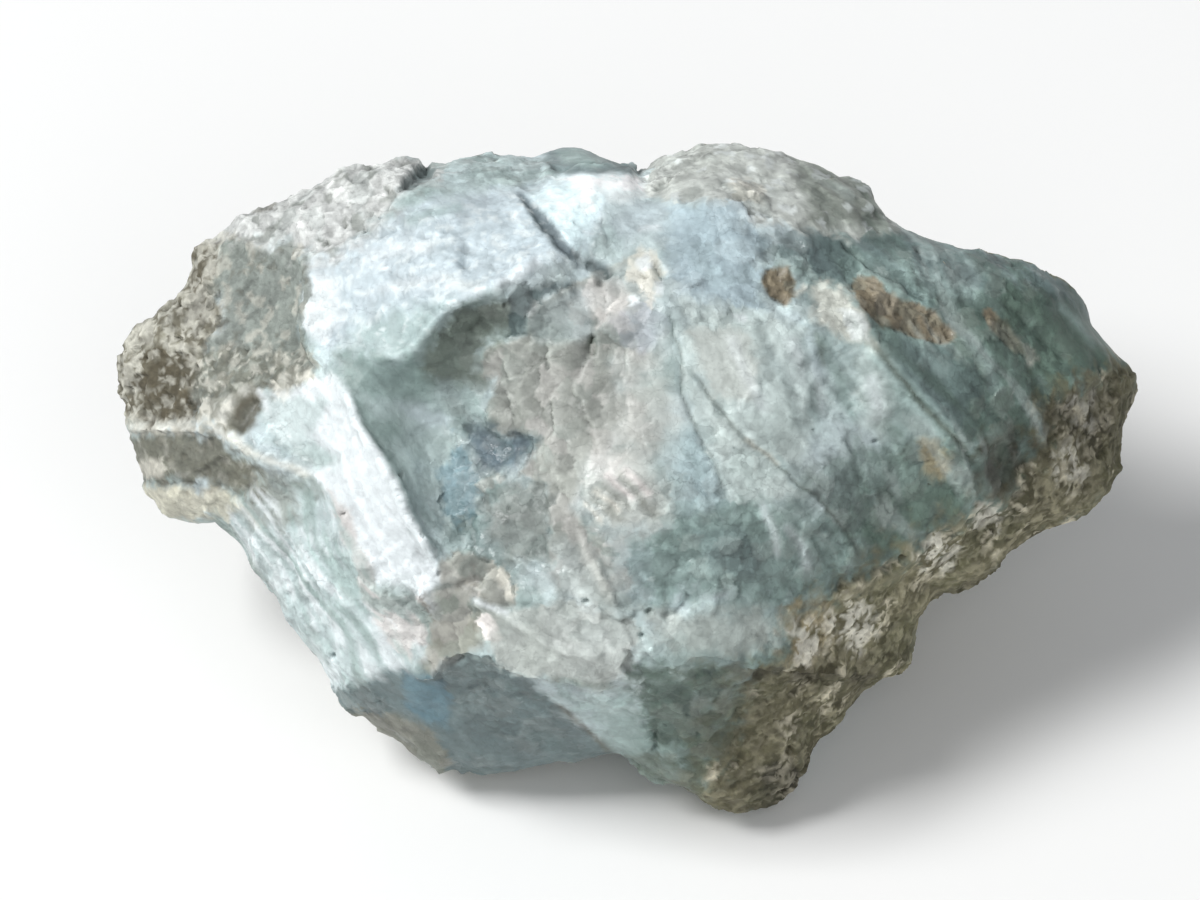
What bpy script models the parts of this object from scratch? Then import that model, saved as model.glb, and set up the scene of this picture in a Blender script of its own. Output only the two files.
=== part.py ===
"""Rough larimar: one natural stone, lying on a small flat spot.

The stone is described in its own plane, in millimetres: u runs to the right along its length, v runs up
across it, and w runs out of its broad face. A front and a back sheet are drawn over one outline, sewn along
it, and the stone is then leaned back and cut flat where it rests.
"""
import math
import random

import bmesh
import bpy
from mathutils import Matrix, Vector, noise
from mathutils.bvhtree import BVHTree
from mathutils.geometry import delaunay_2d_cdt
from mathutils.kdtree import KDTree

# Driving dimensions, in millimetres and degrees
MM = 0.001
LEAN_BACK = 52.0
BASE_LEVEL = -24.6
RIM_GRAIN = 1.6
FRONT_GRAIN = 1.6
BACK_GRAIN = 2.3
SHOULDER_RISE = 4.2
SHOULDER_REACH = 5.5
RING_INSET = 1.1
SHARP_EDGE = 38.0
LONGEST_STRETCH = 1000.0
SAME_PLACE = 0.01
CUT_TOLERANCE = 0.02
SHORTEST_EDGE = 0.05
SEED = 5

# The net of points between the landmarks: the area it covers, how far each point is shaken as a share of
# the grain, and how far apart points stay as a share of the grain or of the inset
NET_LEFT = -60.0
NET_BOTTOM = -40.0
NET_WIDTH = 120.0
NET_HEIGHT = 80.0
NET_SHAKE = 0.16
NET_GAP = 0.62
RING_GAP = 0.6
FRONT_NET_SEED = 7
BACK_NET_SEED = 11
HIGH_ABOVE = 90.0

# The outline, clockwise from the left tip, each point with its height in the broad face's direction
RIM = [
    (-51.5, 9.0, -4.0), (-51.0, 13.3, -3.0), (-48.6, 15.8, -2.0), (-44.5, 19.6, -1.0),
    (-43.5, 23.1, -1.0), (-41.3, 24.0, 0.0), (-39.0, 26.1, 0.0), (-34.5, 27.9, 1.0), (-29.1, 30.3, 2.5),
    (-24.8, 31.5, 3.0), (-18.8, 31.4, 2.0), (-17.1, 32.2, 1.0), (-14.3, 32.6, 0.0), (-9.3, 32.1, -1.0),
    (-7.5, 33.0, -2.5), (-5.8, 33.0, -3.0), (-2.8, 31.8, -2.0), (0.9, 30.4, 0.0), (3.2, 32.2, -1.0),
    (7.2, 33.6, -2.0), (11.2, 33.8, -2.5), (15.2, 32.8, -2.0), (20.2, 30.9, -1.0), (24.2, 29.2, 0.0),
    (26.2, 26.0, 1.5), (31.2, 23.9, 2.0), (35.7, 22.9, 1.0), (40.0, 21.6, 0.0), (44.2, 19.7, -2.0),
    (45.7, 18.1, -2.5), (46.7, 15.6, -3.0), (49.2, 12.8, -4.0), (51.3, 10.6, -4.5), (51.4, 8.8, -5.0),
    (49.9, 2.8, -5.0), (50.1, 0.3, -5.0), (49.2, -1.4, -4.5), (46.7, -3.3, -4.0), (41.7, -5.6, -2.5),
    (37.2, -8.2, -2.0), (36.2, -9.5, -3.0), (33.7, -11.4, -3.5), (31.0, -12.1, -2.5),
    (29.7, -14.0, -2.0), (28.9, -16.7, -3.0), (29.0, -18.7, -4.0), (27.5, -20.4, -4.5),
    (25.2, -20.6, -4.0), (23.4, -21.7, -3.0), (22.2, -23.7, -2.0), (19.0, -27.7, -1.0),
    (17.2, -30.2, -1.0), (15.9, -32.3, -2.0), (13.7, -33.3, -2.0), (10.7, -33.8, -1.0),
    (7.7, -33.2, 0.0), (5.4, -31.2, 1.0), (2.2, -29.6, 1.5), (-1.1, -27.9, 0.0), (-6.8, -28.7, -2.0),
    (-11.3, -29.7, -3.5), (-14.3, -29.9, -4.0), (-17.3, -29.0, -3.5), (-18.8, -29.6, -3.5),
    (-22.0, -27.4, -3.0), (-24.0, -26.0, -3.0), (-28.6, -22.7, -1.0), (-31.6, -17.7, 0.0),
    (-35.0, -12.2, 0.0), (-37.8, -9.0, -0.5), (-39.3, -6.7, -1.5), (-41.5, -4.5, -2.0),
    (-44.8, -4.2, -4.0), (-46.8, -3.8, -5.0), (-48.5, -1.2, -5.5), (-49.3, 1.8, -5.0),
    (-50.0, 4.8, -5.0),
]

# Crests and edges on the broad face, kept crisp
FRONT_CRESTS = {
    "brow": [
        (-30.3, 13.3, 12.5), (-24.8, 12.0, 17.0), (-21.8, 12.3, 18.5), (-19.8, 14.8, 19.5),
        (-17.3, 17.3, 20.0), (-13.8, 18.8, 20.0), (-10.8, 20.3, 19.5), (-8.0, 22.0, 18.5),
    ],
    "matrix_lip": [
        (-32.5, 21.6, 8.0), (-31.6, 19.8, 9.3), (-31.6, 17.3, 10.2), (-32.2, 15.6, 10.6),
        (-31.4, 13.6, 11.2),
    ],
    "matrix_edge": [
        (-34.0, 21.4, 5.8), (-33.1, 19.4, 6.8), (-33.1, 16.9, 7.4), (-33.6, 15.0, 8.0),
        (-32.6, 12.6, 9.0),
    ],
    "blade": [
        (-29.3, 10.3, 14.5), (-27.8, 8.3, 16.5), (-26.8, 5.3, 18.2), (-25.3, 2.8, 19.2),
        (-23.3, -0.2, 19.8), (-21.3, -4.7, 19.6), (-19.1, -8.2, 18.8), (-19.1, -12.0, 17.2),
    ],
    "pink_ridge": [
        (-41.3, 5.8, 7.0), (-37.3, 2.3, 9.4), (-34.3, 1.3, 11.2), (-31.0, 0.1, 12.8), (-29.3, -1.7, 13.6),
        (-28.1, -3.7, 14.0), (-27.6, -6.7, 14.2), (-25.6, -9.7, 15.0), (-23.6, -11.7, 15.6),
    ],
    "lower_ledge": [
        (-29.0, -20.2, 3.5), (-25.8, -19.4, 8.0), (-22.8, -18.2, 11.2), (-20.3, -19.4, 12.4),
        (-18.1, -18.7, 13.8), (-15.8, -17.0, 15.4), (-12.8, -18.2, 15.8), (-8.8, -19.6, 15.2),
        (-5.3, -23.4, 10.5), (-2.8, -26.0, 5.6),
    ],
    "swoosh": [(-16.3, -12.0, 17.4), (-10.8, -14.2, 18.2), (-4.8, -17.2, 18.6), (-2.3, -17.9, 18.4)],
    "film_edge": [
        (1.7, -16.4, 18.2), (2.7, -17.7, 17.8), (4.2, -18.4, 17.4), (6.2, -17.2, 17.6),
        (9.2, -17.3, 16.8), (11.2, -18.6, 15.2), (17.2, -18.9, 11.6), (22.2, -19.3, 6.8),
    ],
    "facet_ridge": [
        (22.2, 18.3, 15.6), (23.4, 15.8, 16.6), (24.7, 12.8, 17.2), (27.2, 10.3, 16.8), (29.2, 8.3, 16.2),
        (32.7, 4.8, 14.6),
    ],
    "dome_edge": [
        (7.2, 27.8, 11.6), (10.7, 27.8, 12.2), (12.7, 25.3, 13.4), (14.7, 25.0, 12.8), (18.2, 24.1, 12.4),
    ],
    "crust_edge": [
        (47.4, 10.0, 4.0), (42.0, 8.3, 7.0), (41.0, 4.8, 7.4), (37.8, -1.0, 8.6), (34.0, -4.2, 9.4),
        (27.4, -8.2, 10.4), (20.4, -11.2, 12.8), (16.6, -15.4, 13.6),
    ],
}

# Single heights on the broad face, between its crests
FRONT_SPOTS = [
    # The bright face under the top left rim
    (-27.8, 22.8, 10.6), (-18.8, 24.8, 13.8), (-12.8, 26.8, 12.0), (-28.3, 17.4, 12.4),
    (-20.8, 18.8, 17.2),
    # The band of matrix over it, and the matrix face at the left
    (-34.8, 24.4, 5.4), (-26.8, 27.6, 7.2), (-36.8, 17.8, 5.6), (-39.8, 21.4, 3.6), (-39.8, 12.8, 5.6),
    (-34.8, 11.8, 8.6), (-47.8, 9.8, 1.0), (-43.8, 14.8, 3.0), (-43.3, 7.8, 4.4),
    # The nub at the left end
    (-45.8, 3.8, 1.4), (-45.8, 0.6, 1.0), (-42.8, -2.0, 2.6), (-39.8, 0.4, 5.4),
    # The pale face left of the blade, and the streaked face below it
    (-32.8, 7.8, 10.4), (-30.8, 4.4, 12.2), (-32.8, -5.6, 9.0), (-29.8, -12.2, 9.4), (-24.8, -15.6, 12.4),
    (-35.8, -4.2, 6.6), (-37.8, -1.2, 6.6),
    # The valley under the brow
    (-22.8, 8.8, 14.6), (-19.8, 4.8, 13.8), (-18.6, -1.2, 14.4), (-16.8, -6.2, 16.0), (-15.6, 10.0, 15.4),
    (-14.4, 3.8, 15.8), (-14.6, 13.6, 15.8),
    # The broad middle under its scaly film
    (-10.3, 14.8, 17.4), (-3.8, 17.8, 18.2), (-6.8, 7.8, 19.0), (-2.8, -0.2, 21.2), (-9.8, -3.2, 18.6),
    (2.2, 5.8, 21.2), (3.2, -4.2, 21.8), (-2.8, -9.6, 20.4), (-12.8, -8.6, 17.4),
    # The saddle and the hollow right of the groove
    (-5.8, 25.8, 14.6), (-2.4, 28.0, 9.4), (-2.3, 20.3, 16.4), (1.9, 20.0, 18.8), (2.7, 26.8, 12.2),
    # The crystalline dome
    (7.2, 31.0, 6.4), (13.2, 30.2, 6.6), (20.2, 28.0, 6.8), (23.6, 24.4, 8.6),
    # The pale faces right of the middle
    (9.7, 21.8, 16.8), (18.2, 21.8, 14.4), (7.2, 13.8, 19.8), (14.2, 14.8, 18.4), (16.4, 7.8, 18.8),
    (11.2, 3.8, 20.6), (20.6, 10.2, 15.8), (19.6, 15.0, 16.6), (26.0, 2.6, 15.4),
    # The grey and teal faces at the right
    (31.2, 13.8, 12.6), (37.2, 14.8, 8.8), (42.2, 14.2, 5.2), (37.2, 7.8, 10.2), (27.2, 20.6, 10.8),
    (33.2, 19.0, 8.0), (39.0, 17.6, 5.0), (32.4, 0.2, 12.0),
    # The lower right, down to the crust
    (20.2, -2.2, 17.4), (13.2, -4.2, 19.4), (7.2, -10.2, 19.6), (14.2, -9.8, 17.0),
    (45.8, 5.0, 3.8), (44.8, -0.4, 3.0), (38.6, -4.6, 3.8), (29.6, -9.6, 6.2), (25.2, -15.8, 5.6),
    (19.6, -15.6, 10.2),
    # Below the ledges
    (-24.0, -22.8, 3.4), (-17.0, -23.6, 5.8), (-11.0, -24.4, 6.8), (-6.4, -26.0, 4.0),
    (1.4, -22.2, 12.6), (7.2, -23.2, 11.0), (3.6, -26.6, 7.4), (10.2, -28.8, 5.4), (15.8, -24.4, 6.4),
    (14.4, -28.8, 4.0), (21.6, -21.2, 3.2),
]

# Crests and heights on the hidden back
BACK_CRESTS = {
    "keel": [
        (-39.0, 3.0, -10.0), (-29.0, -1.0, -16.5), (-20.0, -5.0, -21.5), (-10.0, -6.5, -25.0),
        (3.0, -6.0, -26.5), (13.0, -7.0, -25.0), (20.0, -10.0, -20.0), (25.5, -14.0, -11.5),
    ],
    "upper_break": [
        (-36.0, 19.0, -8.0), (-24.0, 21.0, -12.5), (-12.0, 15.5, -18.0), (4.0, 13.0, -21.0),
        (18.0, 11.0, -19.5), (30.0, 12.5, -15.5), (40.0, 11.0, -11.5),
    ],
    "left_break": [(-20.0, -5.0, -21.5), (-16.0, 5.0, -20.5), (-12.0, 15.5, -18.0), (-9.0, 26.0, -11.5)],
    "right_break": [(13.0, -7.0, -25.0), (19.0, 2.0, -23.0), (18.0, 11.0, -19.5), (21.0, 22.0, -11.0)],
    "lower_break": [
        (-31.0, -13.5, -7.5), (-22.0, -16.0, -13.5), (-12.0, -18.5, -18.4), (2.0, -19.5, -18.8),
        (12.0, -20.0, -16.6), (17.5, -20.5, -11.5),
    ],
}
BACK_SPOTS = [
    (-44.0, 11.0, -9.0), (-34.0, 10.0, -11.0), (-28.0, 25.0, -6.5), (-26.0, 9.0, -14.0),
    (-3.0, 3.5, -23.0), (3.0, 27.0, -9.5), (-18.0, 25.5, -8.5), (12.0, 27.0, -9.5), (28.0, 20.5, -8.5),
    (38.0, 17.0, -7.5), (44.5, 5.0, -11.5), (35.0, 3.0, -14.0), (27.0, 3.0, -17.5), (31.0, -6.0, -10.5),
    (-37.0, -5.0, -7.5), (-28.0, -8.5, -13.5), (-22.0, -22.0, -8.0), (-9.0, -25.0, -10.5),
    (7.0, -27.0, -8.5), (13.0, -27.0, -7.5), (22.0, -17.0, -10.5),
]

# Unevenness of the broken surfaces: how deep it is and how far apart its swells are
FRONT_SWELLS = [(0.45, 9.0), (0.28, 4.2)]
BACK_SWELLS = [(1.1, 11.0), (0.7, 5.0)]
RIM_SWELLS = [(0.22, 4.0)]
RIM_SWELL_PLACE = (3.0, 5.0, 0.0)
SIDE_SWELL_GAP = 40.0
SIDEWAYS_SWELL = 0.3
SOFTENING_ROUNDS = 2
SOFTENING_SHARE = 0.6

STONE_NAME = "larimar_stone"
STONE_COLOUR = (0.52, 0.62, 0.64, 1.0)
STONE_ROUGHNESS = 0.55


def clear_scene():
    """Start from an empty scene."""
    for item in list(bpy.data.objects):
        bpy.data.objects.remove(item, do_unlink=True)


def resample(points, spacing, closed=False):
    """Points along a line of landmarks, evenly spread on each stretch, with every landmark kept."""
    stops = points + points[:1] if closed else points
    line = []
    for start, end in zip(stops, stops[1:]):
        a = Vector(start)
        b = Vector(end)
        steps = max(1, round((b - a).to_2d().length / spacing))
        line += [a.lerp(b, i / steps) for i in range(steps)]
    if not closed:
        line.append(Vector(points[-1]))
    return line


def triangles(points, loop, lines):
    """Triangles over the plane inside a loop of points, with the lines kept as edges."""
    flat = [p.to_2d() for p in points]
    verts, _, faces, origins, _, owners = delaunay_2d_cdt(flat, lines, [loop[::-1]], 1, 1e-5, True)
    first = [ids[0] if ids else -1 for ids in origins]
    if len(verts) != len(flat) or -1 in first:
        raise ValueError("two landmark lines cross, or two landmarks coincide")
    return [tuple(first[i] for i in face) for face, owner in zip(faces, owners) if owner]


def lay_crests(points, crests, grain):
    """Add the crests' own points, and return the edges that keep them crisp."""
    edges = []
    for crest in crests.values():
        previous = None
        for place in resample(crest, grain):
            near = [i for i, p in enumerate(points) if (p - place).to_2d().length < SAME_PLACE]
            here = near[0] if near else len(points)
            if not near:
                points.append(place)
            if previous is not None:
                edges.append((previous, here))
            previous = here
    return edges


def landmark_sheet(crests, spots, rise):
    """The flat facets between the landmarks, as a tree that gives the height at a place."""
    points = [Vector((u, v, w + rise)) for u, v, w in RIM]
    loop = list(range(len(points)))
    edges = lay_crests(points, crests, LONGEST_STRETCH)
    points += [Vector(place) for place in spots]
    return BVHTree.FromPolygons(points, triangles(points, loop, edges))


def ring_inside(rim):
    """Places a little inside the rim, one for each of its points."""
    ring = []
    for before, here, after in zip(rim[-1:] + rim[:-1], rim, rim[1:] + rim[:1]):
        along = (after - before).to_2d().normalized()
        ring.append((here.x + along.y * RING_INSET, here.y - along.x * RING_INSET))
    return [place for i, place in enumerate(ring) if clear_of(place, ring[:i])]


def clear_of(place, others):
    """True where no other place is close."""
    return all(math.dist(place, other) > 0.5 * RING_INSET for other in others)


def shaken_net(grain, seed):
    """A net of places over the whole stone, in staggered rows, each place moved a little."""
    shake = random.Random(seed)
    row_gap = grain * math.sin(math.radians(60))
    net = []
    for row in range(int(NET_HEIGHT / row_gap)):
        for column in range(int(NET_WIDTH / grain)):
            u = NET_LEFT + (column + 0.5 * (row % 2)) * grain + shake.uniform(-NET_SHAKE, NET_SHAKE) * grain
            v = NET_BOTTOM + row * row_gap + shake.uniform(-NET_SHAKE, NET_SHAKE) * grain
            net.append((u, v))
    return net


def swell(place, layers, offset):
    """A gentle random shift of a place, the same each time."""
    total = Vector((0.0, 0.0, 0.0))
    for depth, spread in layers:
        total += noise.noise_vector((place + offset) / spread) * depth
    return total


def fill(points, places, least_gap, surface):
    """Add each place that lies on the surface and isn't too close to the points already there."""
    taken = KDTree(len(points))
    for i, p in enumerate(points):
        taken.insert((p.x, p.y, 0), i)
    taken.balance()
    for u, v in places:
        hit = surface.ray_cast(Vector((u, v, HIGH_ABOVE)), Vector((0, 0, -1)))[0]
        if hit is not None and taken.find((u, v, 0))[2] > least_gap:
            points.append(hit)


def soften(heights, faces, held):
    """Round the flat facets off a little, but not their crests."""
    near = [set() for _ in heights]
    for a, b, c in faces:
        near[a] |= {b, c}
        near[b] |= {a, c}
        near[c] |= {a, b}
    for _ in range(SOFTENING_ROUNDS):
        around = [sum(heights[n] for n in ids) / len(ids) for ids in near]
        heights = [
            h if i in held else (1 - SOFTENING_SHARE) * h + SOFTENING_SHARE * around[i]
            for i, h in enumerate(heights)
        ]
    return heights


def gap_to_rim(rim):
    """A tree that gives how far a place is from the rim."""
    tree = KDTree(len(rim) * 4)
    for i, (a, b) in enumerate(zip(rim, rim[1:] + rim[:1])):
        for k in range(4):
            place = a.lerp(b, k / 4)
            tree.insert((place.x, place.y, 0), i)
    tree.balance()
    return tree


def sheet(rim, crests, spots, grain, side, layers, net_seed):
    """One side of the stone: its points, with the rim first, and its triangles."""
    rise = side * SHOULDER_RISE
    surface = landmark_sheet(crests, spots, rise)
    points = list(rim)
    loop = list(range(len(rim)))
    edges = lay_crests(points, crests, grain)
    held = set(loop) | set(range(len(rim), len(points)))
    fill(points, ring_inside(rim), RING_GAP * RING_INSET, surface)
    fill(points, shaken_net(grain, net_seed), NET_GAP * grain, surface)
    faces = triangles(points, loop, edges)
    heights = soften([p.z + (rise if i < len(rim) else 0.0) for i, p in enumerate(points)], faces, held)

    # Curl the sheet over to the rim, and add the swells
    edge = gap_to_rim(rim)
    shaped = [p + swell(p, RIM_SWELLS, Vector(RIM_SWELL_PLACE)) for p in rim]
    offset = Vector((0, 0, side * SIDE_SWELL_GAP))
    for p, height in zip(points[len(rim):], heights[len(rim):]):
        inner = min(1.0, edge.find((p.x, p.y, 0))[2] / SHOULDER_REACH)
        curl = math.sqrt(1.0 - (1.0 - inner) ** 2)
        place = Vector((p.x, p.y, height - rise * (1.0 - curl)))
        fade = Vector((SIDEWAYS_SWELL, SIDEWAYS_SWELL, 1.0)) * inner
        shaped.append(place + swell(Vector((p.x, p.y, 0)), layers, offset) * fade)
    return shaped, faces


def lean_back():
    """From the stone's own plane to the ground it lies on."""
    lean = math.radians(LEAN_BACK)
    right = Vector((1, 0, 0))
    up = Vector((0, math.sin(lean), math.cos(lean)))
    out = Vector((0, -math.cos(lean), math.sin(lean)))
    return Matrix((right, up, out)).transposed()


def stone_material():
    """A plain pale blue, matt material."""
    material = bpy.data.materials.new("larimar")
    material.use_nodes = True
    shader = material.node_tree.nodes["Principled BSDF"]
    shader.inputs["Base Color"].default_value = STONE_COLOUR
    shader.inputs["Roughness"].default_value = STONE_ROUGHNESS
    shader.inputs["Metallic"].default_value = 0.0
    return material


def cut_base(stone):
    """Cut the stone level where it rests, and close the cut with one flat face."""
    everything = stone.verts[:] + stone.edges[:] + stone.faces[:]
    bmesh.ops.bisect_plane(
        stone, geom=everything, dist=CUT_TOLERANCE, plane_co=(0, 0, BASE_LEVEL), plane_no=(0, 0, -1),
        clear_outer=True,
    )
    open_edges = [edge for edge in stone.edges if edge.is_boundary]
    made = bmesh.ops.contextual_create(stone, geom=open_edges)["faces"]
    bmesh.ops.triangulate(stone, faces=made)
    for vert in stone.verts:
        if abs(vert.co.z - BASE_LEVEL) < CUT_TOLERANCE:
            vert.co.z = BASE_LEVEL


def build_stone():
    """Sew the two sheets along the rim, lean the stone back, cut its base and hand it over."""
    rim = resample(RIM, RIM_GRAIN, closed=True)
    front, front_faces = sheet(
        rim, FRONT_CRESTS, FRONT_SPOTS, FRONT_GRAIN, 1.0, FRONT_SWELLS, FRONT_NET_SEED
    )
    back, back_faces = sheet(
        rim, BACK_CRESTS, BACK_SPOTS, BACK_GRAIN, -1.0, BACK_SWELLS, BACK_NET_SEED
    )

    stone = bmesh.new()
    front_verts = [stone.verts.new(p) for p in front]
    back_verts = front_verts[: len(rim)] + [stone.verts.new(p) for p in back[len(rim):]]
    for face in front_faces:
        stone.faces.new([front_verts[i] for i in face])
    for face in back_faces:
        stone.faces.new([back_verts[i] for i in reversed(face)])
    bmesh.ops.transform(stone, matrix=lean_back().to_4x4(), verts=stone.verts)
    cut_base(stone)
    bmesh.ops.dissolve_degenerate(stone, dist=SHORTEST_EDGE, edges=stone.edges)
    bmesh.ops.recalc_face_normals(stone, faces=stone.faces)

    # The origin is under the middle of the stone, on the ground
    xs = [vert.co.x for vert in stone.verts]
    ys = [vert.co.y for vert in stone.verts]
    middle = Vector(((min(xs) + max(xs)) / 2, (min(ys) + max(ys)) / 2, BASE_LEVEL))
    bmesh.ops.translate(stone, vec=-middle, verts=stone.verts)
    bmesh.ops.scale(stone, vec=(MM, MM, MM), verts=stone.verts)

    mesh = bpy.data.meshes.new(STONE_NAME)
    stone.to_mesh(mesh)
    stone.free()
    mesh.materials.append(stone_material())
    mesh.shade_smooth()
    mesh.set_sharp_from_angle(angle=math.radians(SHARP_EDGE))
    item = bpy.data.objects.new(STONE_NAME, mesh)
    bpy.context.scene.collection.objects.link(item)
    print("faces", len(mesh.polygons), "middle", tuple(round(c, 3) for c in middle))
    return item


noise.seed_set(SEED)
clear_scene()
build_stone()
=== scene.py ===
# %% [markdown]
# # A rough larimar
# Larimar is a blue kind of pectolite that grows in the gas pockets of basalt. This stone is one broken lump:
# a wide pale blue face, grey basalt at its left end and a brown mottled crust along its right end and lower
# edge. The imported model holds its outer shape. Here it gets its broken surface and its colours.

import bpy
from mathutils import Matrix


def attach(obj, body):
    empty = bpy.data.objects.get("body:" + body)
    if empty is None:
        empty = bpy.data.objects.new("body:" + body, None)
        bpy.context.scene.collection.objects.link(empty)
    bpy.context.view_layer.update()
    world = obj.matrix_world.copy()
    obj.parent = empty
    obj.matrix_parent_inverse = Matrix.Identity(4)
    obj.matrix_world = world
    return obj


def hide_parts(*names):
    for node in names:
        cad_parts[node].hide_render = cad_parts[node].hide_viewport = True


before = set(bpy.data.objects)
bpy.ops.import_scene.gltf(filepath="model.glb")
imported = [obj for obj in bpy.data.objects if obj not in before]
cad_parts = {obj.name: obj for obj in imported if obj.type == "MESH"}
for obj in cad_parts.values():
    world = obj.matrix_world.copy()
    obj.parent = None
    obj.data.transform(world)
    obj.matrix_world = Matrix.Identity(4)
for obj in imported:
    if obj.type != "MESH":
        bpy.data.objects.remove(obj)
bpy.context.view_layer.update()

# %% Tools and units
import math
from types import SimpleNamespace

import bpy
import numpy as np
from mathutils import Vector

MM = 0.001
print("Blender", bpy.app.version_string)

# %% [markdown]
# ## The stone's own plane
# The broad face leans back from the viewer, so places on it are easier to give in a plane of its own: u to
# the right, v up across the face and w out of it, in millimetres. The photo looks straight at this plane, so
# a place read off the photo turns into millimetres with one scale: ten pixels to a millimetre.

# %% The plane and the photo's scale
LEAN = math.radians(52)
RIGHT = np.array((1.0, 0.0, 0.0))
UP = np.array((0.0, math.sin(LEAN), math.cos(LEAN)))
OUT = np.array((0.0, -math.cos(LEAN), math.sin(LEAN)))
PLANE_MIDDLE = np.array((0.033, -1.051, 24.6)) * MM
PHOTO_MIDDLE = np.array((628.0, 478.0))
PIXEL = 0.1


def mark(*spots):
    """Places read off the photo, as millimetres on the stone's plane."""
    return (np.array(spots, float) - PHOTO_MIDDLE) * (PIXEL, -PIXEL)


def from_plane(u, v, w):
    """A place on the plane as a point in metres."""
    return Vector(PLANE_MIDDLE + (RIGHT * u + UP * v + OUT * w) * MM)


print("the photo's corner on the plane", mark((0, 0))[0], "mm")

# %% [markdown]
# ## Camera, light and ground
# A long lens from far away keeps the outline as the photo shows it, because nothing grows or shrinks with
# its depth. Most light comes from a big soft lamp at the upper left, like a window. A weak lamp in front and
# a pale sky fill the shadows.

# %% Camera
LENS = 600.0
SENSOR = 36.0
FARTHEST_VIEW = 20.0
PICTURE_WIDTH = 120.0
PICTURE_MIDDLE = mark((600, 450))[0]

camera_data = bpy.data.cameras.new("camera")
camera_data.lens = LENS
camera_data.sensor_width = SENSOR
camera_data.clip_end = FARTHEST_VIEW
camera = bpy.data.objects.new("camera", camera_data)
bpy.context.collection.objects.link(camera)
camera.location = from_plane(*PICTURE_MIDDLE, PICTURE_WIDTH * LENS / SENSOR)
camera.rotation_euler = (math.pi / 2 - LEAN, 0, 0)
bpy.context.scene.camera = camera
print("camera", [round(c, 3) for c in camera.location])

# %% Light and ground
LAMPS = [("window", (-950, 760, 1050), 0.6, 24.0), ("front_fill", (350, -100, 1200), 1.0, 2.9)]
ROOM_COLOUR = (0.93, 0.96, 1.0, 1.0)
ROOM_LIGHT = 0.30
FLOOR_SIZE = 8.0
FLOOR_COLOUR = (0.90, 0.90, 0.89, 1.0)
FLOOR_ROUGHNESS = 0.8


def lamp(name, spot, size, power):
    """A square lamp at a place given from the stone's plane, turned to the stone."""
    data = bpy.data.lights.new(name, "AREA")
    data.size = size
    data.energy = power
    item = bpy.data.objects.new(name, data)
    bpy.context.collection.objects.link(item)
    item.location = from_plane(*spot)
    item.rotation_euler = (item.location - from_plane(0, 0, 0)).to_track_quat("Z", "Y").to_euler()
    print(name, [round(c, 2) for c in item.location])


for name, spot, size, power in LAMPS:
    lamp(name, spot, size, power)

world = bpy.data.worlds.new("pale_room")
world.use_nodes = True
world.node_tree.nodes["Background"].inputs["Color"].default_value = ROOM_COLOUR
world.node_tree.nodes["Background"].inputs["Strength"].default_value = ROOM_LIGHT
bpy.context.scene.world = world
bpy.context.scene.view_settings.view_transform = "Standard"

bpy.ops.mesh.primitive_plane_add(size=FLOOR_SIZE, location=(0, 0, 0))
floor = bpy.context.active_object
floor.name = "floor"
floor_finish = bpy.data.materials.new("pale_floor")
floor_finish.use_nodes = True
floor_shader = floor_finish.node_tree.nodes["Principled BSDF"]
floor_shader.inputs["Base Color"].default_value = FLOOR_COLOUR
floor_shader.inputs["Roughness"].default_value = FLOOR_ROUGHNESS
floor.data.materials.append(floor_finish)

# %% [markdown]
# ## A finer skin
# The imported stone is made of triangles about 1.6 mm wide. A copy of it is merged, its sharp edges are
# creased, and a Subdivision Surface rounds the rest. A voxel remesh then gives an even net, fine enough for
# flakes and pits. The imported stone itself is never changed.

# %% Copy, merge, crease and subdivide
VOXEL = 0.27
CREASE_ANGLE = math.radians(36)
CREASE = 0.9
MERGE_GAP = 0.000001


def only(item):
    """Select one object and nothing else."""
    bpy.ops.object.select_all(action="DESELECT")
    item.select_set(True)
    bpy.context.view_layer.objects.active = item


def apply_modifier(item, name, kind, **settings):
    """Add a modifier with these settings and apply it."""
    modifier = item.modifiers.new(name, kind)
    for key, value in settings.items():
        setattr(modifier, key, value)
    only(item)
    bpy.ops.object.modifier_apply(modifier=name)


stone = bpy.data.objects.new("larimar_surface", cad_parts["larimar_stone"].data.copy())
bpy.context.collection.objects.link(stone)
only(stone)
bpy.ops.object.mode_set(mode="EDIT")
bpy.ops.mesh.select_all(action="SELECT")
bpy.ops.mesh.remove_doubles(threshold=MERGE_GAP)
bpy.ops.mesh.select_all(action="DESELECT")
bpy.ops.mesh.edges_select_sharp(sharpness=CREASE_ANGLE)
bpy.ops.transform.edge_crease(value=CREASE)
bpy.ops.object.mode_set(mode="OBJECT")
apply_modifier(stone, "round", "SUBSURF", levels=2, render_levels=2)
apply_modifier(stone, "even", "REMESH", mode="VOXEL", voxel_size=VOXEL * MM, adaptivity=0.0)
print("skin", len(stone.data.vertices), "points")

# %% [markdown]
# ## Reading the skin
# All shaping below is sculpting in numbers: each point is pushed in or out along its normal by a sum of
# small features. The points are read once into arrays, in the plane's millimetres. The drawn lines would
# look ruled, so the u and v used to place them are shaken a little by noise first.

# %% Repeatable noise
MIXERS = [np.uint64(k) for k in (
    0x9E3779B97F4A7C15, 0xC2B2AE3D27D4EB4F, 0x165667B19E3779F9, 0xBF58476D1CE4E5B9,
)]
STEPS = (-1, 0, 1)
SLOPES = np.array([(a, b, c) for a in STEPS for b in STEPS for c in STEPS if a * a + b * b + c * c == 2])


def mixed(corner, seed):
    """A well mixed whole number for each corner of a grid, the same each time."""
    x, y, z = (corner + seed * 101).astype(np.uint64).T
    value = x * MIXERS[0] + y * MIXERS[1] + z * MIXERS[2]
    value = (value ^ (value >> np.uint64(29))) * MIXERS[3]
    return value ^ (value >> np.uint64(32))


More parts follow.
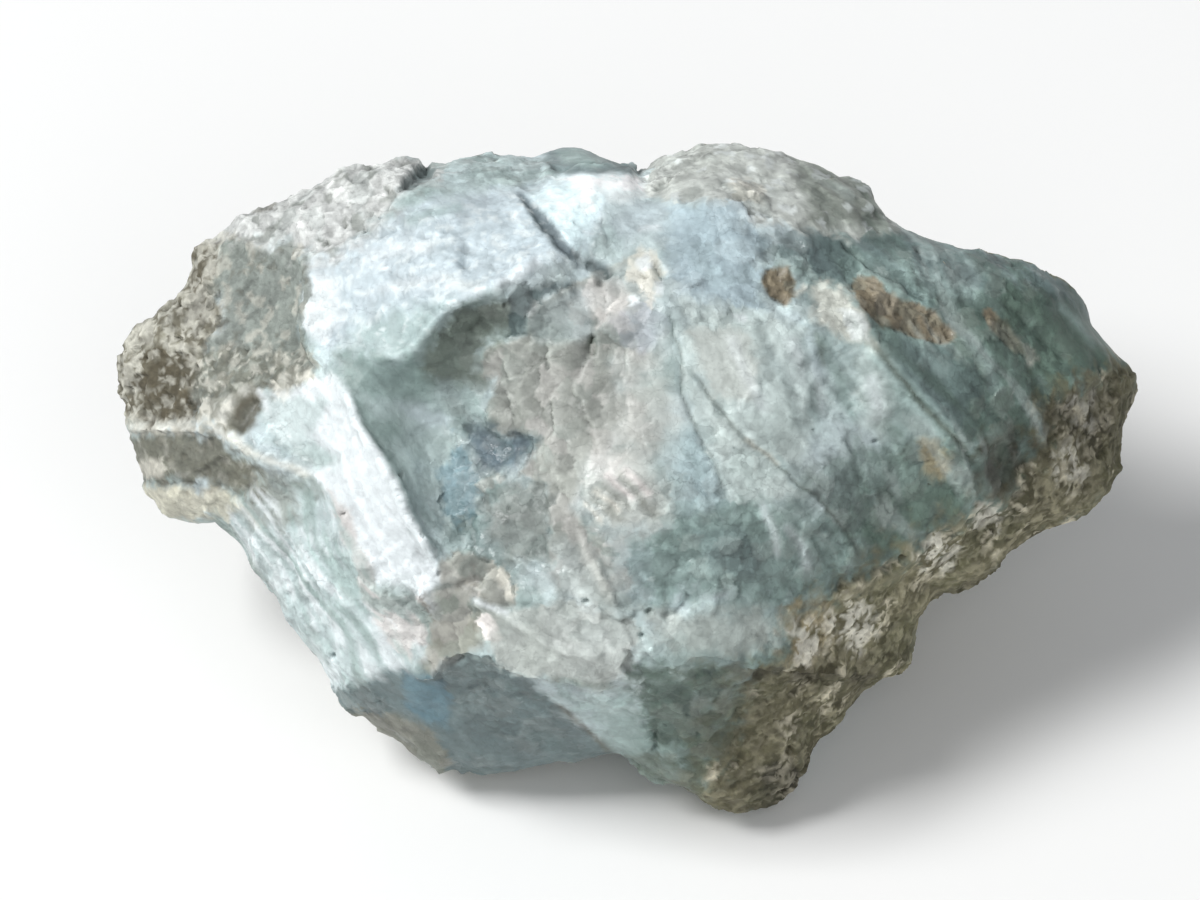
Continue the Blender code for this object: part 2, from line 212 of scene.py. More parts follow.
def share(value, start):
    """A number from 0 to 1 out of a mixed number, ten bits from the start."""
    return ((value >> np.uint64(start)) & np.uint64(1023)).astype(float) / 1023


def noise(place, size, seed=0, octaves=1, gain=0.5):
    """Smooth noise from about -1 to 1 with swells of this size, in millimetres, and finer layers on top."""
    total = np.zeros(len(place))
    strength = 1.0
    reach = 0.0
    for octave in range(octaves):
        spot = place / size * 2 ** octave + 17.3 * octave
        corner = np.floor(spot).astype(np.int64)
        part = spot - corner
        fade = part * part * part * (part * (part * 6 - 15) + 10)
        value = np.zeros(len(place))
        for step in np.ndindex(2, 2, 2):
            slope = SLOPES[(share(mixed(corner + step, seed + octave), 20) * 11.99).astype(int)]
            weight = np.prod(np.where(step, fade, 1 - fade), axis=1)
            value += weight * (slope * (part - step)).sum(axis=1)
        total += strength * value * 1.5
        reach += strength
        strength *= gain
    return total / reach


def around(place, size, seed):
    """The cells round each point: how far off each centre is, and two random numbers of its cell."""
    spot = place / size
    corner = np.floor(spot).astype(np.int64)
    for step in np.ndindex(3, 3, 3):
        home = corner + np.array(step) - 1
        value = mixed(home, seed)
        centre = home + np.stack([share(value, start) for start in (0, 10, 20)], axis=1)
        yield spot - centre, share(value, 30), share(value, 42)


def warped(place, size, amount, seed):
    """Places moved about by noise, so that straight edges turn ragged."""
    return place + amount * np.stack([noise(place, size, seed + k, 3, 0.65) for k in (0, 1, 2)], axis=1)


def smooth(low, high, value):
    """0 below low, 1 above high and an even curve between; low may be the larger."""
    part = np.clip((value - low) / (high - low), 0, 1)
    return part * part * (3 - 2 * part)


print("noise at one place", noise(np.array([(0.3, 0.4, 0.5)]), 1.0).round(3))

# %% Read the points
FRONT_EDGE = (-0.25, 0.1)


def read_all(items, name, wide=1, kind=np.float32):
    """One property of all points, edges, corners or faces of a mesh, as an array."""
    values = np.zeros(len(items) * wide, kind)
    items.foreach_get(name, values)
    return values.reshape(-1, wide) if wide > 1 else values


def shaken(place, seed):
    """How far noise moves each place, in millimetres."""
    return 0.18 * noise(place, 2.2, seed) + 0.10 * noise(place, 0.7, seed + 1)


def read_skin(mesh):
    """The mesh's points and normals in the plane's millimetres, and how far each is on the broad face."""
    count = len(mesh.vertices)
    co = read_all(mesh.vertices, "co", 3)
    turn = np.stack((RIGHT, UP, OUT), axis=1)
    place = ((co - PLANE_MIDDLE) / MM) @ turn
    facing = read_all(mesh.vertex_normals, "vector", 3) @ turn
    flat = place * (1, 1, 0.3)
    return SimpleNamespace(
        place=place, facing=facing, u=place[:, 0] + shaken(flat, 11), v=place[:, 1] + shaken(flat, 13),
        ground=co[:, 2] / MM, front=smooth(*FRONT_EDGE, facing[:, 2]),
        lift=np.zeros(count), count=count,
    )


skin = read_skin(stone.data)
print("front points", int((skin.front > 0.5).sum()))

# %% [markdown]
# ## Lines and patches
# A scarp is an edge where one side of a line stands proud, as where a flake has broken off. A ridge is a
# crest or, with a negative height, a groove or a crack. A patch is an area inside an outline. Each is
# measured from drawn lines, and only for the points near them, which keeps it quick.

# %% Measuring from a line
def near(skin, line, reach):
    """The points of the broad face in a box round a line."""
    low = line.min(axis=0) - reach
    high = line.max(axis=0) + reach
    inside = (skin.u > low[0]) & (skin.u < high[0]) & (skin.v > low[1]) & (skin.v < high[1])
    return np.flatnonzero(inside & (skin.front > 0))


def from_line(u, v, line):
    """Distance to a line, which side of it (1 is left), and how far along it, from 0 to 1."""
    lengths = np.hypot(*(line[1:] - line[:-1]).T)
    gap = np.full(u.shape, 1e9)
    side = np.ones(u.shape)
    along = np.zeros(u.shape)
    done = 0.0
    for start, step, length in zip(line[:-1], line[1:] - line[:-1], lengths):
        part = np.clip(((u - start[0]) * step[0] + (v - start[1]) * step[1]) / length ** 2, 0, 1)
        du = u - start[0] - part * step[0]
        dv = v - start[1] - part * step[1]
        here = np.hypot(du, dv)
        closer = here < gap
        gap = np.where(closer, here, gap)
        side = np.where(closer, np.where(step[0] * dv - step[1] * du > 0, 1.0, -1.0), side)
        along = np.where(closer, (done + part * length) / lengths.sum(), along)
        done += length
    return gap, side, along


def within(u, v, outline):
    """True inside a closed outline."""
    odd = np.zeros(u.shape, bool)
    for (u0, v0), (u1, v1) in zip(outline, np.roll(outline, -1, axis=0)):
        crosses = (v0 > v) != (v1 > v)
        rise = np.where(v1 == v0, 1e-9, v1 - v0)
        odd ^= crosses & (u < (u1 - u0) * (v - v0) / rise + u0)
    return odd


test_line = np.array([(0.0, 0.0), (5.0, 0.0)])
print("from a line to a place 2 mm above it", from_line(np.array([1.0]), np.array([2.0]), test_line)[0])

# %% Scarps, ridges, pits and patches
def tapered(along, ends=0.12):
    """1 along a line, falling to 0 at its ends."""
    return smooth(0, ends, along) * smooth(1, 1 - ends, along)


def scarp(skin, line, toward, rise, reach, blunt=0.16):
    """The side of the line toward a place stands proud by rise, and sinks back over its reach."""
    line = mark(*line)
    at = near(skin, line, reach * 3)
    gap, side, along = from_line(skin.u[at], skin.v[at], line)
    proud = from_line(*mark(toward).T, line)[1][0]
    signed = gap * side * proud
    fall = np.exp(-np.maximum(signed, 0) / reach)
    skin.lift[at] += rise * smooth(-blunt, blunt, signed) * fall * tapered(along)


def ridge(skin, line, rise, width, ends=0.12):
    """A crest along a line, or a groove where rise is negative."""
    line = mark(*line)
    at = near(skin, line, width * 2.5)
    gap, _, along = from_line(skin.u[at], skin.v[at], line)
    skin.lift[at] += rise * np.exp(-((gap / width) ** 2)) * tapered(along, ends)


def patch(skin, outline, blunt=0.2, ragged=0.0, size=1.5, seed=3):
    """The points in and near an outline, and how much each is inside it."""
    outline = mark(*outline)
    loop = np.vstack((outline, outline[:1]))
    at = near(skin, loop, blunt + ragged + 0.5)
    gap = from_line(skin.u[at], skin.v[at], loop)[0]
    signed = np.where(within(skin.u[at], skin.v[at], outline), gap, -gap)
    if ragged:
        signed = signed + ragged * noise(skin.place[at], size, seed, 3, 0.6)
    return at, smooth(-blunt, blunt, signed)


def pit(skin, spot, radius, depth):
    """A small round hollow."""
    centre = mark(spot)
    at = near(skin, centre, radius * 2.5)
    gap = np.hypot(skin.u[at] - centre[0, 0], skin.v[at] - centre[0, 1])
    skin.lift[at] -= depth * np.exp(-((gap / radius) ** 4))


def tell_lift(step):
    """Print how far the features so far push the skin in and out."""
    print(step, "lift", round(float(skin.lift.min()), 2), "to", round(float(skin.lift.max()), 2), "mm")


tell_lift("before shaping")

# %% [markdown]
# ## Where each mineral lies
# The basalt, the crust and the crystal film differ in grain as well as in colour, so their areas are drawn
# once and used twice: here to roughen the skin, and later to paint it. The back of the stone is mostly
# weathered basalt, with a window of blue where the vein comes through.

# %% Mineral areas
BASALT_END = (
    (80, 400), (80, 330), (150, 240), (200, 228), (262, 244), (300, 240), (308, 262), (311, 290),
    (303, 328), (316, 366), (238, 396), (205, 402), (192, 420), (150, 424), (90, 415),
)
WEATHERED_END = (
    (80, 400), (80, 330), (150, 240), (200, 228), (222, 238), (216, 290), (222, 325), (204, 345),
    (196, 422), (150, 424),
)
GRANULAR_BAND = (
    (205, 238), (225, 205), (300, 170), (380, 150), (445, 150), (440, 176), (412, 190), (345, 258),
    (310, 262), (290, 248),
)
LEFT_NUB = (
    (105, 410), (150, 420), (190, 418), (222, 432), (246, 452), (262, 478), (250, 505), (225, 524),
    (150, 530), (120, 470),
)
DOME = (
    (640, 180), (660, 140), (700, 128), (760, 128), (885, 180), (905, 220), (890, 232), (850, 240),
    (752, 224), (736, 202), (672, 204), (648, 196),
)
CRUST = (
    (1150, 350), (1046, 396), (1040, 430), (1000, 500), (832, 590), (802, 618), (792, 648), (760, 664),
    (744, 690), (690, 812), (740, 830), (790, 815), (860, 740), (930, 690), (930, 640), (1060, 545),
    (1140, 500),
)
FILM = (
    (574, 285), (536, 306), (526, 320), (529, 338), (503, 342), (485, 350), (484, 376), (500, 380),
    (488, 402), (489, 430), (502, 437), (534, 438), (530, 460), (518, 474), (545, 483), (552, 530),
    (544, 556), (556, 590), (600, 605), (632, 612), (660, 590), (690, 520), (690, 470), (676, 360),
    (664, 300), (640, 252),
)
BIG_PLATE = ((530, 310), (574, 290), (592, 292), (594, 334), (580, 342), (540, 342), (528, 334))
BURST = ((590, 458), (632, 462), (668, 500), (662, 530), (608, 540), (584, 522), (572, 506))
SMOOTH_FILM = ((545, 530), (590, 545), (640, 600), (640, 625), (560, 612), (530, 600))
CHIPPED = ((626, 664), (742, 662), (735, 720), (700, 775), (650, 765))
LOWER_FILM = (
    (440, 562), (458, 552), (472, 549), (508, 570), (517, 604), (500, 612), (484, 645), (430, 676),
    (420, 660), (430, 640), (424, 600),
)


def wash(skin, outline, blunt, ragged=0.0, size=1.5, seed=3):
    """How much each point of the whole skin is inside an outline on the broad face."""
    weight = np.zeros(skin.count)
    at, inside = patch(skin, outline, blunt, ragged, size, seed)
    weight[at] = inside * smooth(0.0, 0.4, skin.front[at])
    return weight


def mineral_areas(skin):
    """The share of each mineral at each point, over the whole stone."""
    back = smooth(1.0, 0.6, skin.front)
    u, v, w = skin.place.T
    drift = noise(skin.place, 14.0, 31, 3)
    window = smooth(0.05, 0.40, noise(skin.place * (1, 1.7, 1), 17.0, 35, 4, 0.65))
    rocky_back = back * (1 - window)
    left = smooth(16, -16, u + 18 * drift)
    basalt = np.maximum.reduce([
        wash(skin, BASALT_END, 0.3, 1.1, 3.0), 0.6 * wash(skin, LEFT_NUB, 0.8, 1.0), rocky_back * left,
    ])
    crust = np.maximum(wash(skin, CRUST, 2.0, 2.6, 4.0), rocky_back * (1 - left)) * (1 - 0.8 * basalt)
    weathered = np.maximum(wash(skin, WEATHERED_END, 0.6, 1.2, 2.5), 0.7 * rocky_back * left)
    granular = wash(skin, GRANULAR_BAND, 1.2, 1.6, 3.0) * (1 - basalt)
    fading = smooth(6.5, -3.5, skin.u + 5.0 * noise(skin.place, 4.5, 32, 3, 0.6))
    fading *= (1 - 0.6 * wash(skin, BIG_PLATE, 0.6)) * (1 - 0.6 * wash(skin, SMOOTH_FILM, 1.2, 0.8))
    fading *= 1 - 0.85 * wash(skin, BURST, 0.8, 0.4)
    film = np.maximum(fading * wash(skin, FILM, 0.3, 0.4), 0.8 * wash(skin, LOWER_FILM, 0.3, 0.3))
    return SimpleNamespace(
        basalt=basalt, weathered=weathered, granular=granular, crust=crust, film=film,
        dome=wash(skin, DOME, 0.6, 1.2, 2.0) * (1 - crust), window=window * back, back=back,
    )


areas = mineral_areas(skin)
for name, part in vars(areas).items():
    print(name, round(float(part.mean()), 3))

# %% [markdown]
# ## Broken surface
# Pectolite breaks in small hackly facets, each at its own level, and the film in the middle is made of flakes
# that overlap like scales. Basalt and crust crumble: they get lumps, grains and pits. Each kind is worked out
# only where its mineral lies.

# %% Facets, holes and where they go
def facets(place, size, seed, tilt=1.2, level=0.7, sharp=16.0, toward=None):
    """Small flat faces, each at its own level and tilted its own way, or all tilted toward one side."""
    total = np.zeros(len(place))
    reach = np.full(len(place), 1e-12)
    for away, turn, value in around(place, size, seed):
        weight = np.exp(-sharp * (away ** 2).sum(axis=1))
        if toward is None:
            lean = away[:, 0] * np.cos(turn * 2 * math.pi) + away[:, 1] * np.sin(turn * 2 * math.pi)
        else:
            lean = away @ np.array(toward)
        total += weight * (lean * tilt + (value - 0.5) * level)
        reach += weight
    return total / reach


def holes(place, size, seed, portion, widest=0.5):
    """How deep each point is in round pits, from 0 to 1, where a portion of the cells has one."""
    deep = np.zeros(len(place))
    for away, pick, width in around(place, size, seed):
        gap = np.sqrt((away ** 2).sum(axis=1)) / (widest * (0.45 + 0.55 * width))
        deep = np.maximum(deep, smooth(1.0, 0.55, gap) * (pick < portion))
    return deep


def where(weight, shape):
    """A shape times its weight, worked out only for the points that it touches."""
    lift = np.zeros(len(weight))
    at = np.flatnonzero(weight > 0.01)
    lift[at] = weight[at] * shape(at)
    return lift


WIDE_FLAKE = (4.2, 51)
MIDDLE_FLAKE = (2.1, 52)
SMALL_FLAKE = (1.05, 53)
GRAIN = (0.6, 54)
BACK_FACET = (9.0, 55)
FILM_WAY = (-0.9, -0.1, 0.0)
FACET_LAYERS = [
    ("vein", 0.24, WIDE_FLAKE, 1.0, 0.6, 30.0), ("vein", 0.16, MIDDLE_FLAKE, 1.0, 0.7, 40.0),
    ("vein", 0.08, SMALL_FLAKE, 1.0, 1.0, 40.0), ("film", 0.62, WIDE_FLAKE, 0.9, 0.15, 70.0, FILM_WAY),
    ("film", 0.30, MIDDLE_FLAKE, 0.9, 0.15, 70.0, FILM_WAY),
    ("film", 0.05, SMALL_FLAKE, 1.0, 0.9, 50.0, FILM_WAY), ("crust", 0.32, WIDE_FLAKE, 0.9, 0.9, 10.0),
    ("crust", 0.15, MIDDLE_FLAKE, 1.0, 0.9, 22.0), ("crust", 0.10, SMALL_FLAKE, 1.2, 1.0, 30.0),
    ("basalt", 0.24, MIDDLE_FLAKE, 1.0, 1.0, 15.0), ("weathered", 0.24, MIDDLE_FLAKE, 1.0, 1.2, 16.0),
    ("granular", 0.22, MIDDLE_FLAKE, 1.0, 1.0, 15.0), ("granular", 0.16, SMALL_FLAKE, 1.0, 1.0, 15.0),
    ("dome", 0.26, MIDDLE_FLAKE, 1.0, 0.8, 20.0),
]


def torn_place(place):
    """Places moved about by noise, the same for shape and paint, so that both share their flakes."""
    return warped(place, 1.6, 0.5, 43)


def lively(place):
    """Broad areas where the facets of the vein stand out, from 0 to 1."""
    return smooth(-0.5, 0.3, noise(place, 11.0, 114))


def roughen(skin, areas):
    """The grain of every mineral, over the whole stone."""
    place = skin.place
    torn = torn_place(place)
    rocky = np.clip(areas.basalt + areas.crust + areas.granular, 0, 1)
    vein = (1 - rocky) * (1 - areas.film)
    vein *= np.maximum(lively(place) * 0.7 + 0.3, wash(skin, CHIPPED, 0.8, 0.4))
    vein *= 1 - 0.75 * wash(skin, BURST, 0.8, 0.4)
    skin.lift += 0.35 * noise(place, 7.0, 41, 2) * (0.7 + 0.7 * areas.back)
    weights = dict(vars(areas), vein=vein)
    for mineral, height, flake, *shape in FACET_LAYERS:
        skin.lift += where(weights[mineral], lambda at: height * facets(torn[at], *flake, *shape))
    skin.lift += where(areas.back, lambda at: 0.8 * facets(place[at], *BACK_FACET))
    skin.lift += where(areas.crust, lambda at: 0.6 * noise(place[at], 6.5, 122, 2))
    skin.lift += where(rocky, lambda at: 0.14 * noise(place[at], 0.9, 67, 2, 0.7))
    skin.lift -= 0.45 * areas.crust + 0.25 * areas.weathered
    pitted = np.maximum(0.4 * areas.crust, areas.weathered)
    skin.lift -= where(pitted, lambda at: 0.5 * holes(torn[at], 1.5, 71, 0.35))
    skin.lift -= where(areas.granular, lambda at: 0.4 * holes(torn[at], 1.4, 72, 0.25, 0.4))


roughen(skin, areas)
tell_lift("facets")

# %% [markdown]
# ## Drawn edges
# These are the edges that give this stone its face: the brow over the valley, the sharp blade, the ledges,
# and the scaly film whose flakes overlap in the middle. Each line was read off the photo.

# %% Crests
CRESTS = [
    (0.35, 0.7, ((325, 345), (380, 358), (410, 355), (430, 330), (455, 305), (520, 275), (548, 258))),
    (0.55, 0.55, ((335, 375), (350, 395), (360, 425), (395, 480), (415, 525), (437, 560))),
    (0.5, 0.9, ((215, 420), (255, 455), (318, 477), (335, 495), (347, 515), (352, 545), (372, 575),
     (392, 595), (435, 603))),
    (0.3, 0.7, ((850, 295), (875, 350), (955, 430))),
    (0.55, 0.5, ((465, 598), (490, 605), (520, 620), (545, 637), (580, 650), (605, 657))),
    (0.35, 0.4, ((560, 632), (575, 636), (603, 655))),
    (0.3, 0.45, ((340, 460), (355, 485), (392, 560), (412, 585))),
]
SWELLS = [
    (1.1, 3.0, ((606, 178), (608, 262))),
    (0.8, 3.0, ((560, 186), (600, 178), (650, 184))),
    (-0.5, 2.2, ((478, 430), (520, 462))),
    (-0.5, 2.4, ((985, 455), (1010, 465), (1015, 480))),
    (0.7, 2.6, ((845, 350), (880, 430))),
    (-0.5, 2.0, ((815, 340), (846, 430))),
    (0.6, 3.0, ((735, 350), (790, 450))),
    (-0.5, 3.0, ((800, 240), (850, 262), (880, 290))),
    (0.5, 2.4, ((660, 222), (700, 212), (745, 214))),
    (-0.6, 2.2, ((1000, 310), (1035, 345), (1050, 390))),
    (-0.6, 0.9, ((463, 274), (471, 244))),
    (0.4, 1.2, ((316, 268), (322, 300), (314, 330))),
    (0.5, 2.4, ((940, 330), (975, 370), (985, 410))),
    (0.6, 2.0, ((235, 545), (320, 665))),
    (-0.4, 1.6, ((265, 540), (345, 650))),
    (0.4, 1.6, ((290, 520), (380, 640))),
]


def ridges(step, table, ends=0.12):
    """Add every ridge of a table."""
    for rise, width, line in table:
        ridge(skin, line, rise, width, ends)
    tell_lift(step)


ridges("swells", SWELLS, 0.3)
ridges("crests", CRESTS)

# %% Ledges
LEDGES = [
    (0.9, 3.5, (340, 310), ((300, 256), (310, 275), (312, 305), (303, 322), (310, 348), (322, 372))),
    (0.25, 2.5, (300, 300), ((232, 238), (300, 250), (320, 256), (382, 224), (400, 195))),
    (0.7, 2.0, (590, 200), ((545, 166), (554, 172), (564, 175), (638, 175))),
    (0.9, 2.0, (480, 620), ((395, 658), (420, 672), (430, 675), (446, 665), (450, 655), (470, 648),
     (492, 652), (500, 660), (530, 669), (600, 685), (620, 683))),
    (0.6, 2.0, (685, 640), ((638, 640), (660, 660), (672, 663), (684, 659), (690, 652), (715, 652),
     (742, 662))),
    (0.8, 2.5, (800, 640), ((738, 664), (800, 672), (850, 674))),
    (0.5, 2.0, (560, 320), ((573, 287), (552, 298), (540, 302), (526, 318), (528, 338))),
    (0.3, 1.8, (560, 358), ((530, 338), (545, 341), (575, 341), (588, 345))),
    (0.4, 1.6, (515, 362), ((480, 366), (485, 350), (503, 341), (521, 341), (536, 349))),
    (0.5, 2.2, (550, 392), ((575, 356), (545, 362), (522, 375), (505, 381), (492, 392), (488, 404))),
    (0.6, 2.2, (560, 430), ((489, 404), (489, 430), (500, 437), (512, 433), (535, 439), (530, 460),
     (518, 475))),
    (0.35, 1.5, (500, 486), ((476, 494), (477, 484), (483, 478), (508, 475))),
    (0.35, 1.5, (590, 520), ((520, 477), (545, 483), (553, 520), (546, 545), (545, 558))),
    (0.3, 1.2, (520, 545), ((500, 556), (520, 562), (536, 562), (546, 552))),
    (0.6, 2.0, (480, 585), ((442, 566), (452, 560), (458, 553), (472, 550), (490, 562), (502, 561),
     (512, 580), (517, 604))),
    (0.3, 1.5, (560, 585), ((560, 610), (545, 603), (530, 600), (517, 604))),
    (0.5, 1.5, (620, 595), ((598, 600), (607, 612), (620, 618), (632, 613), (631, 604))),
    (0.12, 2.0, (700, 210), ((640, 230), (665, 222), (700, 201), (735, 201), (754, 226), (810, 237))),
    (0.3, 3.0, (500, 240), ((518, 195), (545, 232), (560, 250), (572, 260))),
    (0.5, 1.6, (190, 425), ((125, 430), (200, 432), (222, 440))),
    (0.3, 1.4, (180, 500), ((135, 484), (205, 486), (225, 496))),
    (0.4, 1.5, (850, 590), ((792, 650), (802, 620), (832, 592), (870, 577), (900, 562), (935, 538))),
]
for rise, reach, toward, line in LEDGES:
    scarp(skin, line, toward, rise, reach)
tell_lift("ledges")

# %% Grooves and cracks
GROOVES = [
    (-0.6, 0.8, ((574, 260), (604, 270), (611, 279))),
    (-0.24, 0.24, ((668, 296), (672, 335), (682, 360), (683, 400), (690, 420), (712, 460), (728, 502))),
    (-0.24, 0.24, ((680, 358), (740, 437), (765, 455), (790, 478), (815, 495), (850, 540), (872, 572))),
    (-0.7, 0.35, ((592, 334), (592, 357))),
    (-0.2, 0.35, ((582, 524), (612, 586), (632, 615))),
    (-0.7, 0.8, ((236, 430), (260, 398))),
    (-0.35, 0.5, ((150, 486), (190, 485), (222, 492))),
    (-0.7, 0.4, ((653, 262), (664, 279))),
    (-0.5, 0.25, ((638, 271), (647, 279))),
    (-0.6, 0.5, ((662, 616), (674, 612), (690, 592))),
    (-0.8, 0.5, ((632, 648), (622, 671))),
    (-0.6, 0.4, ((651, 728), (655, 752))),
    (-0.4, 0.5, ((455, 590), (462, 583), (474, 578), (486, 582))),
    (-0.5, 0.3, ((840, 238), (880, 272), (930, 306))),
    (-0.5, 0.5, ((1000, 300), (1030, 322), (1070, 362))),
    (-0.55, 0.4, ((862, 332), (892, 372), (940, 424), (958, 446), (985, 474))),
]
ridges("grooves", GROOVES)

# %% Rays of the starburst
RAYS = [
    (0.34, 0.5, ((622, 468), (652, 500), (661, 513))),
    (0.34, 0.5, ((606, 472), (622, 486), (645, 511))),
    (0.3, 0.45, ((597, 488), (626, 519))),
    (0.22, 0.4, ((584, 503), (606, 528))),
    (0.15, 0.45, ((572, 516), (602, 580), (618, 606))),
]
ridges("rays", RAYS, 0.3)

# %% Pits and hollows
PITS = [
    ((584, 601), 0.35, 0.6), ((649, 610), 0.4, 0.5), ((642, 635), 0.28, 0.5), ((440, 573), 0.25, 0.4),
    ((403, 476), 0.3, 0.6), ((347, 512), 0.25, 0.4), ((333, 655), 0.3, 0.5), ((388, 592), 0.25, 0.4),
    ((467, 262), 0.5, 0.45), ((466, 249), 0.45, 0.4), ((512, 218), 0.35, 0.35), ((408, 355), 0.3, 0.3),
    ((370, 213), 0.3, 0.5), ((380, 218), 0.25, 0.5), ((365, 228), 0.25, 0.4), ((325, 217), 0.25, 0.4),
    ((310, 228), 0.25, 0.4), ((211, 306), 0.3, 0.7), ((918, 250), 0.3, 0.5), ((874, 441), 0.35, 0.4),
    ((813, 430), 0.2, 0.3), ((902, 558), 0.35, 0.7), ((792, 752), 0.5, 0.9), ((509, 507), 0.2, 0.3),
    ((600, 284), 0.45, 0.6), ((505, 306), 0.2, 0.4),
]
for spot, radius, depth in PITS:
    pit(skin, spot, radius, depth)

WEDGE = ((517, 193), (522, 194), (538, 208), (580, 258), (572, 263), (558, 252), (528, 213))
HOLLOWS = [
    (0.3, WEDGE),
    (0.9, ((398, 192), (404, 180), (415, 171), (426, 165), (434, 170), (434, 178))),
    (0.2, ((284, 446), (315, 442), (344, 453), (338, 468), (305, 463))),
    (0.5, ((195, 470), (245, 448), (262, 478), (240, 500), (205, 482))),
    (0.2, ((985, 455), (1000, 440), (1020, 450), (1012, 480), (992, 492))),
]
for depth, outline in HOLLOWS:
    at, inside = patch(skin, outline, 0.3)
    skin.lift[at] -= depth * inside

CLAY = [
    ((763, 269), (786, 269), (795, 283), (793, 297), (784, 308), (769, 297), (760, 283)),
    ((849, 288), (854, 279), (873, 278), (884, 292), (932, 312), (953, 329), (952, 342), (936, 345),
     (896, 332), (874, 322), (860, 312)),
    ((982, 312), (990, 308), (1006, 325), (1020, 344), (1024, 357), (1013, 354), (999, 340), (987, 326)),
]
for outline in CLAY:
    at, inside = patch(skin, outline, 0.25, 0.25)
    skin.lift[at] += inside * (0.35 * noise(skin.place[at], 0.9, 81, 2) - 0.25)
tell_lift("pits")

# %% [markdown]
# ## Fibres
# Pectolite is a mass of fine needles. On the lower left face they run down and to the right, and round the
# starburst they run out from its middle. Noise stretched along that way gives low ribs.

# %% Ribs along the fibres
BURST_MIDDLE = mark((588, 500))[0]
BURST_REACH = 9
ACROSS = (0.82, 0.57)


def fibre_places(skin):
    """Coordinates that run across the fibres, along them and into the stone, in millimetres."""
    u, v, w = skin.place.T
    from_burst_u = u - BURST_MIDDLE[0]
    from_burst_v = v - BURST_MIDDLE[1]
    turn = np.arctan2(from_burst_v, from_burst_u)
    far = np.hypot(from_burst_u, from_burst_v)
    bend = 1.6 * noise(skin.place, 9.0, 93)
    round_burst = np.stack((turn * 5, far, w), axis=1)
    downhill = np.stack((u * ACROSS[0] + v * ACROSS[1] + bend, u * ACROSS[1] - v * ACROSS[0], w), axis=1)
    return np.where((far < BURST_REACH)[:, None], round_burst, downhill)


def fibres(places):
    """Low ribs along the fibres, from about -1 to 1."""
    return noise(places * (1.1, 0.14, 0.25), 1.0, 91, 3, 0.6)


ribs = fibres(fibre_places(skin))
skin.lift += 0.10 * ribs * (1 - np.clip(areas.basalt + areas.crust + 0.8 * areas.film, 0, 1)) * skin.front
tell_lift("ribs")

# %% [markdown]
# Moving the points hides where they came from, so each keeps its first place. The paint needs it, to find the
# same flakes again.

# %% Keep the first places
def keep(name, values, kind="FLOAT"):
    """Store a number, a colour or a place for each point of the stone under a name."""
    layer = stone.data.attributes.new(name, kind, "POINT")
    field = {"FLOAT": "value", "FLOAT_COLOR": "color", "FLOAT_VECTOR": "vector"}[kind]
    layer.data.foreach_set(field, values.astype(np.float32).ravel())


keep("first_place", skin.place, "FLOAT_VECTOR")
print("kept", [name for name in stone.data.attributes.keys() if name.startswith("first")])

# %% Move the points
BASE_FADE = (0.02, 1.2)
DEEPEST = -2.2
HIGHEST = 1.6


def move_points(mesh, skin):
    """Push each point along its normal by its lift, but leave the flat spot that the stone rests on."""
    lift = np.clip(skin.lift, DEEPEST, HIGHEST) * smooth(*BASE_FADE, skin.ground)
    turn = np.stack((RIGHT, UP, OUT), axis=0)
    place = (skin.place + skin.facing * lift[:, None]) @ turn * MM + PLANE_MIDDLE
    place[:, 2] = np.maximum(place[:, 2], 0.0)
    mesh.vertices.foreach_set("co", place.astype(np.float32).ravel())
    mesh.update()


move_points(stone.data, skin)
print("moved", int((np.abs(skin.lift) > 0.1).sum()), "points by more than 0.1 mm")

# %% Thin the net
MOST_TRIANGLES = 196000
BACK_PORTION = 0.22
SMOOTH_ANGLE = math.radians(50)


def triangle_count(item):
    """How many triangles a mesh makes."""
    return sum(len(face.vertices) - 2 for face in item.data.polygons)


def thin_out(item, most):
    """Bring the mesh under a number of triangles, mostly on the back, which needs less detail."""
    behind = read_skin(item.data).front < 0.5
    only(item)
    bpy.ops.object.mode_set(mode="EDIT")
    bpy.ops.mesh.select_all(action="DESELECT")
    bpy.ops.object.mode_set(mode="OBJECT")
    item.data.vertices.foreach_set("select", behind)
    bpy.ops.object.mode_set(mode="EDIT")
    bpy.ops.mesh.select_mode(type="VERT")
    bpy.ops.mesh.decimate(ratio=BACK_PORTION)
    bpy.ops.object.mode_set(mode="OBJECT")
    count = triangle_count(item)
    if count > most:
        apply_modifier(item, "thin", "DECIMATE", ratio=most / count)


thin_out(stone, MOST_TRIANGLES)
only(stone)
bpy.ops.object.shade_smooth_by_angle(angle=SMOOTH_ANGLE)
skin = read_skin(stone.data)
print("triangles", triangle_count(stone), "front points", int((skin.front > 0.5).sum()), "of", skin.count)

# %% [markdown]
# ## Colour
# The broad colours are laid on the points as a painter's underpainting, one wash over another, in the areas
# where each mineral lies. The material then breaks them up with grain, flakes and fibres.

# %% Colours of the minerals
LAMP_BRIGHTNESS = 1.15


def colour(red, green, blue):
    """A colour as it looks in the window's light, from 0 to 255, as the linear values that a shader mixes."""
    seen = np.array((red, green, blue)) / 255
    linear = np.where(seen <= 0.04045, seen / 12.92, ((seen + 0.055) / 1.055) ** 2.4)
    return linear / LAMP_BRIGHTNESS


